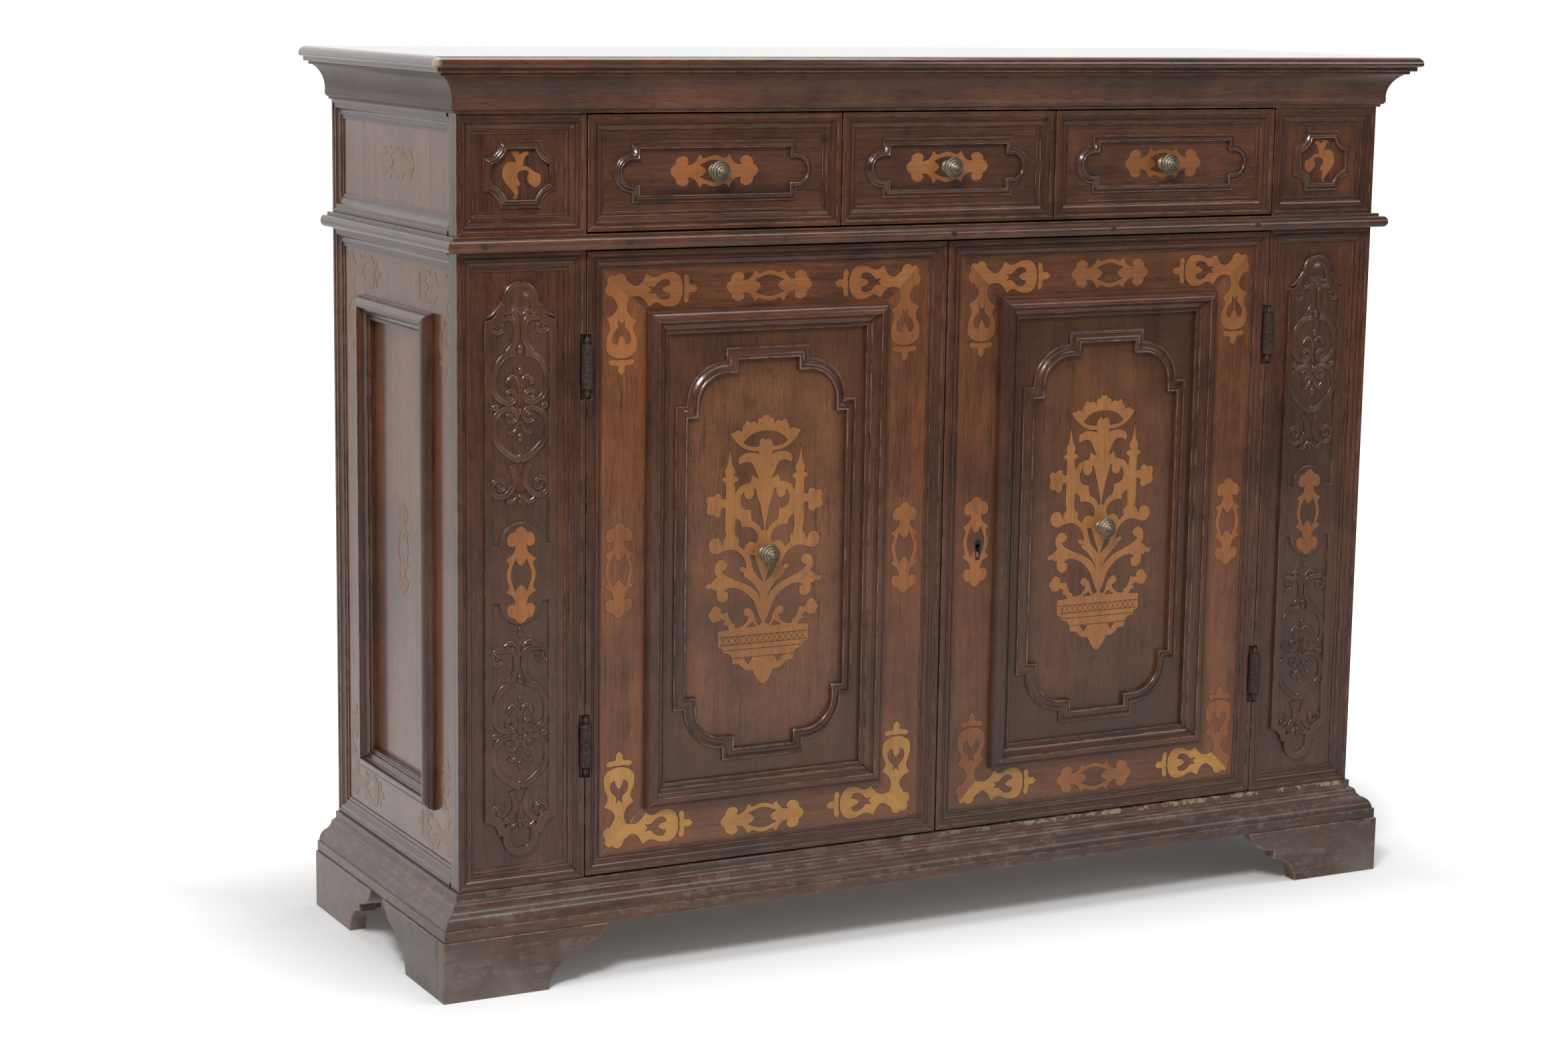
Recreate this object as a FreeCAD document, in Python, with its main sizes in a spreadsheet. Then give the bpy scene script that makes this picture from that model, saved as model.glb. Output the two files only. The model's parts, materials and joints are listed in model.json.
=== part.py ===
import FreeCAD, Part
import math
import os
import re
import Sketcher

# Driving sizes of the credenza, in millimetres
SIZES = {
    # Carcass boards
    "carcass_width": 1296,
    "carcass_depth": 412,
    "side_thickness": 22,
    "post_width": 155,
    "post_thickness": 22,
    "back_thickness": 10,
    "bottom_thickness": 22,
    "bottom_step": 10,
    "stop_gap": 0.3,
    "shelf_thickness": 20,
    "shelf_rise": 371,
    "shelf_setback": 38,
    "cleat_size": 20,
    # Heights of the storeys, from the floor up
    "foot_height": 74,
    "base_height": 50,
    "body_height": 763,
    "waist_height": 18,
    "frieze_height": 141,
    "cornice_height": 47.5,
    # Top board
    "top_thickness": 18.5,
    "top_overhang": 51,
    "top_edge_radius": 8.5,
    "top_under_radius": 3,
    "top_fillet": 6,
    "top_fillet_step": 6,
    # Cornice, waist and base mouldings, reaching out from the carcass
    "cornice_reach": 38,
    "cornice_fillet": 4,
    "cornice_step": 4.4,
    "astragal_reach": 17,
    "astragal_height": 6,
    "cornice_foot_reach": 12,
    "cornice_foot": 3,
    "waist_reach": 24.5,
    "waist_nose": 3.5,
    "waist_fillet_reach": 15.4,
    "waist_fillet": 4,
    "base_reach": 37.5,
    "base_fillet": 13,
    "base_ledge": 2.5,
    "base_swell_reach": 26.5,
    "base_swell": 14,
    "base_hollow_reach": 18,
    "base_hollow": 11,
    "base_cap_reach": 12,
    "base_cap": 9,
    # Bracket feet
    "foot_reach": 40,
    "foot_thickness": 22,
    "foot_length": 213,
    "foot_side_length": 205,
    "foot_toe": 77,
    "foot_cove": 34,
    "foot_step": 12,
    "foot_ovolo": 41,
    "foot_block": 50,
    # Frame mouldings laid on posts, sides, doors and drawers
    "moulding_height": 8,
    "moulding_width": 24,
    "door_moulding_width": 22.5,
    "drawer_moulding_width": 23,
    "moulding_fillet": 5,
    "moulding_step": 1.2,
    "moulding_lip": 1.5,
    "strip_width": 22,
    "strip_bead": 6,
    # Bolection mouldings round the sunk panels of doors and sides
    "bolection_width": 29,
    "bolection_height": 14,
    "bolection_lap": 10,
    "bolection_ridge": 4,
    "bolection_fillet": 2,
    "bolection_bead": 6,
    # Cartouche mouldings
    "cartouche_height": 6,
    "cartouche_tier": 3,
    "cartouche_shoulder": 3,
    "octagon_width": 10,
    "octagon_margin": 11.5,
    "octagon_end_margin": 7,
    "octagon_corner": 20,
    "lobed_width": 9,
    "lobed_margin": 9,
    "lobed_end_margin": 12.5,
    "lobed_radius": 24,
    "arched_width": 15,
    "arched_side_margin": 12,
    "arched_end_margin": 20,
    "arched_step": 16,
    "arched_radius": 53,
    "arched_ear": 14.6,
    # Carved tongue panel of a pilaster
    "tongue_margin": 12,
    "tongue_end_margin": 13,
    "tongue_thickness": 5,
    "tongue_border": 9,
    "tongue_sink": 3,
    "tongue_corner": 17.5,
    "tongue_step": 4,
    "tongue_arch": 22.5,
    "tablet_half_height": 34,
    "tablet_arch": 27,
    # Sunk panels of the sides
    "side_band_across": 62,
    "side_band_up": 55,
    "side_panel_thickness": 12,
    "side_panel_recess": 5,
    # Doors
    "door_side_gap": 1.5,
    "door_meeting_gap": 2.4,
    "door_foot_gap": 2,
    "door_head_gap": 3,
    "door_thickness": 22,
    "stile_width": 90,
    "rail_width": 83,
    "panel_thickness": 10,
    "panel_recess": 4,
    # Hinges
    "hinge_from_foot": 162,
    "hinge_from_head": 136,
    "hinge_stand": 10,
    "hinge_radius": 7.3,
    "hinge_notch": 1,
    "hinge_gap": 0.3,
    "knuckle_length": 25,
    "pin_radius": 3,
    "pin_clearance": 0.05,
    "pin_rise": 20,
    "pin_end_gap": 0.5,
    "leaf_thickness": 2,
    "leaf_start": 5,
    "leaf_depth": 14,
    "finial_length": 13,
    "finial_neck": 3,
    "finial_collar": 3,
    "finial_bead": 6,
    # Drawers
    "drawer_gap": 2,
    "drawer_centre_width": 304,
    "drawer_front_thickness": 20,
    "drawer_side_thickness": 12,
    "drawer_bottom_thickness": 8,
    "drawer_bottom_rise": 6,
    "drawer_rear_gap": 32,
    "drawer_box_height": 122,
    "drawer_run_gap": 0.3,
    "drawer_guide_gap": 1.5,
    "divider_thickness": 16,
    "guide_thickness": 15,
    "guide_height": 55,
    # Turned brass knobs
    "knob_radius": 12.5,
    "knob_height": 27,
    "knob_cap_radius": 4,
    "knob_cap": 2,
    "knob_crown": 7,
    "knob_under": 8,
    "knob_neck_radius": 5,
    "knob_plate_radius": 15,
    "knob_plate": 2.5,
    "shank_radius": 3,
    "shank_length": 9,
    "shank_clearance": 0.05,
    # Rim lock of the right door
    "lock_from_foot": 366,
    "lock_inset": 3,
    "lock_length": 80,
    "lock_height": 60,
    "lock_depth": 16,
    "bolt_length": 60,
    "bolt_height": 20,
    "bolt_thickness": 8,
    "bolt_stand": 4,
    "bolt_clearance": 0.2,
    "bolt_end_gap": 0.5,
    "keyhole_inset": 57,
    "keyhole_radius": 3.5,
    "keyhole_slot_width": 3.5,
    "keyhole_slot_drop": 14,
    # Rod bolt of the left door
    "rod_inset": 29,
    "rod_stand": 9,
    "rod_radius": 5,
    "rod_length": 190,
    "rod_head_gap": 7,
    "rod_clearance": 0.2,
    "rod_hole_clearance": 0.75,
    "rod_grip_radius": 3,
    "rod_grip_length": 16,
    "rod_grip_rise": 70,
    "keeper_width": 24,
    "keeper_depth": 18,
    "keeper_height": 12,
    "keeper_low_rise": 14,
    "keeper_high_rise": 120,
}

# Places worked out from the sizes: x from the middle, y from front to back, z up from the floor
PLACES = {
    "half_width": "carcass_width / 2",
    "front": "(top_overhang - carcass_depth) / 2",
    "back": "front + carcass_depth",
    "inside_y": "front + post_thickness",
    "rear_y": "back - back_thickness",
    "inner_x": "half_width - side_thickness",
    "post_x": "half_width - post_width",
    "pilaster_width": "post_width + moulding_height",
    "pilaster_middle": "post_x + pilaster_width / 2",
    "body_z": "foot_height + base_height",
    "body_middle": "body_z + body_height / 2",
    "waist_z": "body_z + body_height",
    "frieze_z": "waist_z + waist_height",
    "frieze_middle": "frieze_z + frieze_height / 2",
    "cornice_z": "frieze_z + frieze_height",
    "top_z": "cornice_z + cornice_height",
    "shelf_z": "body_z + bottom_step + shelf_rise",
    "side_middle": "(front + back) / 2",
    "side_panel_middle": "side_middle + (strip_width - moulding_width) / 2",
    "side_bolection_across": "carcass_depth - strip_width - moulding_width - 2 * side_band_across",
    "side_bolection_up": "body_height - 2 * moulding_width - 2 * side_band_up",
    "side_panel_across": "side_bolection_across - 2 * bolection_lap",
    "side_panel_up": "side_bolection_up - 2 * bolection_lap",
    "door_width": "post_x - door_side_gap - door_meeting_gap / 2",
    "door_height": "body_height - door_foot_gap - door_head_gap",
    "door_x": "(door_meeting_gap + door_width) / 2",
    "door_z": "body_z + door_foot_gap",
    "door_middle": "door_z + door_height / 2",
    "door_back": "front + door_thickness",
    "panel_across": "door_width - 2 * stile_width",
    "panel_up": "door_height - 2 * rail_width",
    "bolection_across": "panel_across + 2 * bolection_lap",
    "bolection_up": "panel_up + 2 * bolection_lap",
    "arched_across": "bolection_across / 2 - bolection_width - arched_side_margin",
    "arched_up": "bolection_up / 2 - bolection_width - arched_end_margin",
    "pin_x": "post_x - door_side_gap / 2",
    "pin_y": "front - hinge_stand",
    "low_hinge_z": "door_z + hinge_from_foot",
    "high_hinge_z": "door_z + door_height - hinge_from_head",
    "drawer_z": "frieze_z + drawer_gap",
    "drawer_height": "frieze_height - 2 * drawer_gap",
    "divider_x": "(drawer_centre_width + drawer_gap) / 2",
    "drawer_side_width": "post_x - drawer_centre_width / 2 - 2 * drawer_gap",
    "drawer_side_x": "drawer_centre_width / 2 + drawer_gap + drawer_side_width / 2",
    "side_box_left": "post_x - drawer_guide_gap",
    "side_box_right": "divider_x + divider_thickness / 2 + drawer_guide_gap",
    "centre_box_edge": "divider_x - divider_thickness / 2 - drawer_guide_gap",
    "box_z": "frieze_z + drawer_run_gap",
    "drawer_box_depth": "rear_y - front - drawer_front_thickness - drawer_rear_gap",
    "tongue_half": "pilaster_width / 2 - moulding_width - tongue_margin",
    "tongue_end": "body_height / 2 - moulding_width - tongue_end_margin",
    "octagon_across": "pilaster_width / 2 - moulding_width - octagon_margin",
    "octagon_up": "frieze_height / 2 - moulding_width - octagon_end_margin",
    "lock_x": "door_meeting_gap / 2 + lock_inset",
    "lock_z": "door_z + lock_from_foot",
    "keyhole_x": "door_meeting_gap / 2 + keyhole_inset",
    "rod_x": "door_meeting_gap / 2 + rod_inset",
    "rod_y": "door_back + rod_stand",
    "rod_z": "waist_z - rod_head_gap - rod_length",
}

BACK_BOARDS = 5
QUARTER_ROUND = math.tan(math.pi / 8)
HALF_ROUND = 1
SOFT_ROUND = 0.3
OVERCUT = 1
SLACK = 0.01

FLAT = FreeCAD.Rotation()
FACING_FRONT = FreeCAD.Rotation(FreeCAD.Vector(1, 0, 0), 90)
FACING_LEFT = FreeCAD.Rotation(FreeCAD.Vector(0, 0, 1), -90) * FACING_FRONT
FACING_RIGHT = FreeCAD.Rotation(FreeCAD.Vector(0, 0, 1), 90) * FACING_FRONT

doc = FreeCAD.newDocument("Credenza")
sheet = doc.addObject("Spreadsheet::Sheet", "Sizes")
for row, (name, number) in enumerate(SIZES.items(), 1):
    sheet.set(f"A{row}", name.replace("_", " "))
    sheet.set(f"B{row}", str(number))
    sheet.setAlias(f"B{row}", name)
doc.recompute()

nodes = []


def formula(text):
    """Spells a formula out in the sheet's cells."""
    def spell(match):
        word = match.group(0)
        if word in PLACES:
            return "(" + formula(PLACES[word]) + ")"
        return "Sizes." + word if word in SIZES else word
    return re.sub("[a-z_]+", spell, text)


def value(text):
    return float(sheet.evalExpression(formula(text)))


def bind(thing, **formulas):
    for prop, text in formulas.items():
        thing.setExpression(prop, formula(text))


def place(thing, x="0", y="0", z="0", turn=FLAT):
    thing.Placement = FreeCAD.Placement(FreeCAD.Vector(), turn)
    for axis, text in zip("xyz", (x, y, z)):
        thing.setExpression(f"Placement.Base.{axis}", formula(text))
    return thing


def node(thing):
    """Lists a finished sub-part, whose label names its file."""
    nodes.append(thing)
    return thing


# Simple stock and ways of joining it


def board(label, x, y, z, length, depth, height):
    box = doc.addObject("Part::Box", label)
    bind(box, Length=length, Width=depth, Height=height)
    return place(box, x, y, z)


def round_bar(label, x, y, z, radius, length, turn=FLAT):
    bar = doc.addObject("Part::Cylinder", label)
    bind(bar, Radius=radius, Height=length)
    return place(bar, x, y, z, turn)


def gather(label, things):
    """Keeps separate solids together in one piece."""
    group = doc.addObject("Part::Compound", label)
    group.Links = things
    return group


def fuse(label, first, second):
    joined = doc.addObject("Part::Fuse", label)
    joined.Base = first
    joined.Tool = second
    return joined


def cut(label, stock, tool):
    result = doc.addObject("Part::Cut", label)
    result.Base = stock
    result.Tool = tool
    return result


def mirror(label, source):
    """The same piece on the other side of the middle."""
    twin = doc.addObject("Part::Mirroring", label)
    twin.Source = source
    twin.Normal = FreeCAD.Vector(1, 0, 0)
    return twin


# Sketches and the bodies made from them


def draw(sketch, corners):
    """Draws a closed outline and ties it to the sheet. A corner is (x, y) or (x, y, bulge): bulge rounds the
    run to the next corner by that share of half its chord, to the left of the way the outline runs."""
    first = sketch.GeometryCount
    count = len(corners)
    spots = [FreeCAD.Vector(value(corner[0]), value(corner[1]), 0) for corner in corners]
    shapes = []
    ends = []
    rules = []
    ties = {}

    def tie(kind, geometry, point, text):
        axis = 0 if kind == "DistanceX" else 1
        if text == "0":
            rules.append(Sketcher.Constraint("PointOnObject", geometry, point, axis - 2))
        else:
            ties[len(rules)] = text
            rules.append(Sketcher.Constraint(kind, -1, 1, geometry, point, value(text)))

    for index, corner in enumerate(corners):
        start = spots[index]
        stop = spots[(index + 1) % count]
        bulge = corner[2] if len(corner) == 3 else 0
        if bulge == 0:
            shapes.append(Part.LineSegment(start, stop))
            ends.append((1, 2))
            continue
        chord = stop - start
        crown = (start + stop) / 2 + FreeCAD.Vector(-chord.y, chord.x, 0) * bulge / 2
        shapes.append(Part.Arc(stop, crown, start) if bulge > 0 else Part.Arc(start, crown, stop))
        ends.append((2, 1) if bulge > 0 else (1, 2))
    sketch.addGeometry(shapes)

    for index, corner in enumerate(corners):
        geometry = first + index
        after = (index + 1) % count
        rules.append(Sketcher.Constraint("Coincident", geometry, ends[index][1], first + after, ends[after][0]))
        tie("DistanceX", geometry, ends[index][0], corner[0])
        tie("DistanceY", geometry, ends[index][0], corner[1])
        if len(corner) == 3:
            centre = (1 / corner[2] - corner[2]) / 4
            (x1, y1), (x2, y2) = corner[:2], corners[after][:2]
            chord = spots[after] - spots[index]
            if abs(chord.y) >= abs(chord.x):
                tie("DistanceX", geometry, 3, f"(({x1}) + ({x2})) / 2 + (({y2}) - ({y1})) * {centre:.6f}")
            else:
                tie("DistanceY", geometry, 3, f"(({y1}) + ({y2})) / 2 - (({x2}) - ({x1})) * {centre:.6f}")
    base = sketch.ConstraintCount
    sketch.addConstraint(rules)
    for number, text in ties.items():
        sketch.setExpression(f"Constraints[{base + number}]", formula(text))


def sketch_on(body, role, *outlines):
    sketch = body.newObject("Sketcher::SketchObject", body.Name + "_sketch")
    plane = next(feature for feature in body.Origin.OriginFeatures if feature.Role == role)
    sketch.AttachmentSupport = (plane, [""])
    sketch.MapMode = "FlatFace"
    for corners in outlines:
        draw(sketch, corners)
    return sketch


def new_body(label):
    return doc.addObject("PartDesign::Body", label)


def pad(body, sketch, length, symmetric=False):
    feature = body.newObject("PartDesign::Pad", body.Name + "_pad")
    feature.Profile = sketch
    feature.SideType = "Symmetric" if symmetric else "One side"
    bind(feature, Length=length)
    return feature


def turned(label, corners):
    """A piece turned about its own z axis, from half of its outline."""
    body = new_body(label)
    sketch = sketch_on(body, "XZ_Plane", corners)
    feature = body.newObject("PartDesign::Revolution", label + "_turning")
    feature.Profile = sketch
    feature.ReferenceAxis = (sketch, ["V_Axis"])
    feature.Angle = 360
    return body


# Mouldings: a section drawn from its outer edge inwards, run along x and mitred at its ends


def moulding(label, section, length, width, left_run=None, right_run=None):
    """One length of moulding. A run is how far that end's mitre comes in over the width."""
    body = new_body(label)
    pad(body, sketch_on(body, "YZ_Plane", section), length, symmetric=True)
    mitres = []
    for side, run in (("-", left_run), ("", right_run)):
        if run is None:
            continue
        slope = f"({run}) / ({width}) * {OVERCUT}"
        outer = f"{side}(({length}) / 2 + {slope})"
        inner = f"{side}(({length}) / 2 - ({run}) - {slope})"
        mitres.append([(outer, f"-{OVERCUT}"), (inner, f"{width} + {OVERCUT}"), (outer, f"{width} + {OVERCUT}")])
    if mitres:
        pocket = body.newObject("PartDesign::Pocket", label + "_mitre")
        pocket.Profile = sketch_on(body, "XY_Plane", *mitres)
        pocket.SideType = "Symmetric"
        pocket.Type = "ThroughAll"
    return body


def frame(label, section, across, up, rail, stile):
    """Four mitred lengths laid flat round the origin. section(width) draws a member of that width."""
    members = []
    for side, turn, length, width, run, x, y in (
            ("lower", 0, across, rail, stile, "0", f"-({up}) / 2"),
            ("right", 90, up, stile, rail, f"({across}) / 2", "0"),
            ("upper", 180, across, rail, stile, "0", f"({up}) / 2"),
            ("left", 270, up, stile, rail, f"-({across}) / 2", "0")):
        member = moulding(f"{label}_{side}", section(width), length, width, run, run)
        members.append(place(member, x, y, "0", FreeCAD.Rotation(FreeCAD.Vector(0, 0, 1), turn)))
    return gather(label, members)


def frame_section(width):
    """Fillet, step, hollow and lip, falling from the outer edge to the field."""
    fall = "moulding_height - moulding_step"
    return [("0", "0"), ("0", "moulding_height"), ("moulding_fillet", "moulding_height"),
            ("moulding_fillet", fall), ("2 * moulding_fillet", fall, -SOFT_ROUND),
            (f"{width} - moulding_fillet", "2 * moulding_lip"), (f"{width} - moulding_fillet", "moulding_lip"),
            (width, "moulding_lip"), (width, "0")]


def strip_section(width):
    """Flat strip with a quarter-round bead on its inner edge."""
    return [("0", "0"), ("0", "moulding_height"), (f"{width} - strip_bead", "moulding_height"),
            (f"{width} - strip_bead", "strip_bead", QUARTER_ROUND), (width, "0")]


def bolection_section(recess):
    """Swelling outer side, ridge, hollow and bead, rebated over the edge of a sunk panel."""
    def section(width):
        bead = f"{width} - bolection_bead"
        return [("0", "0"), ("0", "bolection_fillet", SOFT_ROUND), ("bolection_lap", "bolection_height"),
                ("bolection_lap + bolection_ridge", "bolection_height", -SOFT_ROUND),
                (bead, "2 * bolection_fillet"), (bead, "bolection_fillet"), (width, "bolection_fillet"),
                (width, f"-{recess}"), ("bolection_lap", f"-{recess}"), ("bolection_lap", "0")]
    return section


def plain_section(thickness):
    def section(width):
        return [("0", f"-{thickness}"), ("0", "0"), (width, "0"), (width, f"-{thickness}")]
    return section


def cornice_section():
    foot = "cornice_reach - cornice_foot_reach"
    hollow_top = "cornice_height - cornice_fillet"
    return [(foot, "0"), (foot, "cornice_foot", QUARTER_ROUND),
            ("cornice_reach - astragal_reach", "cornice_foot + astragal_height", -SOFT_ROUND),
            ("cornice_step", hollow_top), ("0", hollow_top), ("0", "cornice_height"),
            ("cornice_reach", "cornice_height"), ("cornice_reach", "0")]


def waist_section():
    fillet = "waist_reach - waist_fillet_reach"
    nose_top = "waist_height - waist_fillet"
    bulge = 2 * value("waist_nose") / value(nose_top)
    return [("waist_nose", "0", bulge), ("waist_nose", nose_top), (fillet, nose_top),
            (fillet, "waist_height"), ("waist_reach", "waist_height"), ("waist_reach", "0")]


def base_section():
    swell_top = "base_fillet + base_swell"
    hollow_top = "base_fillet + base_swell + base_hollow"
    cap = "base_reach - base_cap_reach"
    return [("0", "0"), ("0", "base_fillet"), ("base_ledge", "base_fillet", SOFT_ROUND),
            ("base_reach - base_swell_reach", swell_top, -SOFT_ROUND),
            ("base_reach - base_hollow_reach", hollow_top), (cap, "base_height - base_cap"),
            (cap, "base_height"), ("base_reach", "base_height"), ("base_reach", "0")]


def belt(label, section, reach, z):
    """A moulding round the front and both sides of the carcass, mitred at the front corners."""
    run = moulding(label + "_front", section, f"carcass_width + 2 * {reach}", reach, reach, reach)
    place(run, "0", f"front - {reach}", z)
    side = moulding(label + "_left", section, f"carcass_depth + {reach}", reach, None, reach)
    quarter = FreeCAD.Rotation(FreeCAD.Vector(0, 0, 1), -90)
    place(side, f"-half_width - {reach}", f"(front - {reach} + back) / 2", z, quarter)
    return gather(label, [run, side, mirror(label + "_right", side)])


# Cartouche mouldings: two tiers between an outline and the same outline drawn further in


def four_quarters(quarter, side_bulge=0, head_bulge=0):
    """Completes an outline from the corners of its upper right quarter, taken from head to side. The bulges
    round the runs that join the quarters, across the sides and across head and foot."""
    bulges = [corner[2] if len(corner) == 3 else 0 for corner in quarter[:-1]]
    onward = bulges + [side_bulge]
    back = bulges[::-1] + [head_bulge]
    spots = [corner[:2] for corner in quarter]
    lower_right = [(x, f"-({y})") for x, y in reversed(spots)]
    lower_left = [(f"-({x})", f"-({y})") for x, y in spots]
    upper_left = [(f"-({x})", y) for x, y in reversed(spots)]
    outline = []
    for corners, curves in ((spots, onward), (lower_right, back), (lower_left, onward), (upper_left, back)):
        for (x, y), bulge in zip(corners, curves):
            outline.append((x, y, bulge) if bulge else (x, y))
    return outline


def octagon(inset):
    """Rectangle with hollow corners."""
    reach = f"sqrt((octagon_corner + {inset})^2 - ({inset})^2)"
    return four_quarters([
        (f"octagon_across - {reach}", f"octagon_up - ({inset})", -QUARTER_ROUND),
        (f"octagon_across - ({inset})", f"octagon_up - {reach}")])


def lobed(drawer_width):
    """Rectangle with a half-round lobe at each end."""
    def outline(inset):
        shoulder = f"({drawer_width}) / 2 - drawer_moulding_width - lobed_end_margin - lobed_radius"
        top = f"drawer_height / 2 - drawer_moulding_width - lobed_margin - ({inset})"
        lobe = f"lobed_radius - ({inset})"
        quarter = [(f"{shoulder} - ({inset})", top), (f"{shoulder} - ({inset})", lobe)]
        if inset != "0":
            quarter.append((shoulder, lobe))
        return four_quarters(quarter, side_bulge=HALF_ROUND)
    return outline


def arched(inset):
    """Tall panel with a stepped bar at head and foot, quarter-round shoulders and square ears."""
    bar = "arched_across - arched_ear - arched_radius"
    step = f"arched_up - arched_step - ({inset})"
    round_end = "arched_up - arched_step - arched_radius"
    side = f"arched_across - arched_ear - ({inset})"
    quarter = [(f"{bar} - ({inset})", f"arched_up - ({inset})"), (f"{bar} - ({inset})", step)]
    if inset != "0":
        quarter.append((bar, step))
    quarter[-1] = quarter[-1] + (QUARTER_ROUND,)
    quarter.append((side, round_end))
    if inset != "0":
        quarter.append((side, f"{round_end} - ({inset})"))
    quarter.append((f"arched_across - ({inset})", f"{round_end} - ({inset})"))
    return four_quarters(quarter)


def cartouche(label, outline, width):
    body = new_body(label)
    shoulder = "cartouche_shoulder"
    pad(body, sketch_on(body, "XY_Plane", outline("0"), outline(width)), "cartouche_height - cartouche_tier")
    crown = sketch_on(body, "XY_Plane", outline(shoulder), outline(f"{width} - {shoulder}"))
    pad(body, crown, "cartouche_height")
    return body


# Carcass

CARCASS_HEIGHT = "top_z - foot_height"


def leaf_box(label, z_from, on_door, y):
    """The space of one hinge leaf, in the edge of the post or of the door."""
    x = "-post_x + door_side_gap" if on_door else "-post_x - leaf_thickness"
    return board(label, x, y, z_from, "leaf_thickness", f"front + leaf_depth - ({y})",
                 "knuckle_length - hinge_gap")


def hinge_tools(on_door):
    """Room for the leaves alone, and for leaves and barrels, at both hinges."""
    slots = []
    notches = []
    owner = "door" if on_door else "post"
    for level, z in (("low", "low_hinge_z"), ("high", "high_hinge_z")):
        z_from = f"{z} + hinge_gap" if on_door else f"{z} - knuckle_length"
        slot = leaf_box(f"{owner}_{level}_leaf_slot", z_from, on_door, "pin_y")
        reach = "knuckle_length + finial_length + hinge_notch"
        hollow = round_bar(f"{owner}_{level}_barrel_hollow", "-pin_x", "pin_y", f"{z} - ({reach})",
                           "hinge_radius + hinge_notch", f"2 * ({reach})")
        slots.append(slot)
        notches.append(fuse(f"{owner}_{level}_notch", slot, hollow))
    return gather(f"{owner}_leaf_slots", slots), gather(f"{owner}_notches", notches)


post_slots, post_notches = hinge_tools(on_door=False)
door_slots, door_notches = hinge_tools(on_door=True)


def top_board():
    """A board with a rounded nose, standing on a narrower fillet of the same board."""
    body = new_body("top_board")
    for inset, thickness, lift in (("top_fillet_step", "top_fillet", "0"),
                                   ("0", "top_thickness - top_fillet", "top_fillet")):
        end = f"half_width + top_overhang - {inset}"
        nose = f"front - top_overhang + {inset}"
        sketch = sketch_on(body, "XY_Plane", [(f"-({end})", nose), (f"-({end})", "back"), (end, "back"),
                                              (end, nose)])
        sketch.setExpression("AttachmentOffset.Base.z", formula(lift))
        slab = pad(body, sketch, thickness)
    for radius, level in (("top_edge_radius", "top_thickness"), ("top_under_radius", "top_fillet")):
        doc.recompute()
        nose_edges = []
        for number, edge in enumerate(slab.Shape.Edges, 1):
            box = edge.BoundBox
            outside = box.YMin < value("front - top_overhang") + OVERCUT or (
                min(abs(box.XMin), abs(box.XMax)) > value("half_width + top_overhang") - OVERCUT)
            if outside and abs(box.ZMin - value(level)) + box.ZLength < SLACK:
                nose_edges.append(f"Edge{number}")
        rounding = body.newObject("PartDesign::Fillet", "top_board_rounding")
        rounding.Base = (slab, nose_edges)
        bind(rounding, Radius=radius)
        slab = rounding
    node(place(body, "0", "0", "top_z"))


def posts():
    blank = board("post_blank", "-half_width", "front", "foot_height", "post_width", "post_thickness",
                  CARCASS_HEIGHT)
    left = node(cut("left_front_post", blank, post_slots))
    node(mirror("right_front_post", left))


def sides():
    """Each side is a frame of two stiles and two rails round a sunk panel."""
    panel_y = "side_panel_middle - side_panel_across / 2"
    panel_end = "side_panel_middle + side_panel_across / 2"
    panel_z = "body_middle - side_panel_up / 2"
    panel_top = "body_middle + side_panel_up / 2"
    members = [board(f"side_{name}", "-half_width", y, z, "side_thickness", depth, height)
               for name, y, z, depth, height in (
                   ("front_stile", "inside_y", "foot_height", f"{panel_y} - inside_y", CARCASS_HEIGHT),
                   ("rear_stile", panel_end, "foot_height", f"back - ({panel_end})", CARCASS_HEIGHT),
                   ("lower_rail", panel_y, "foot_height", "side_panel_across", f"{panel_z} - foot_height"),
                   ("upper_rail", panel_y, panel_top, "side_panel_across", f"top_z - ({panel_top})"))]
    left = node(gather("left_side_frame", members))
    node(mirror("right_side_frame", left))
    panel = node(board("left_side_panel", "-half_width + side_panel_recess", panel_y, panel_z,
                       "side_panel_thickness", "side_panel_across", "side_panel_up"))
    node(mirror("right_side_panel", panel))


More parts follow.
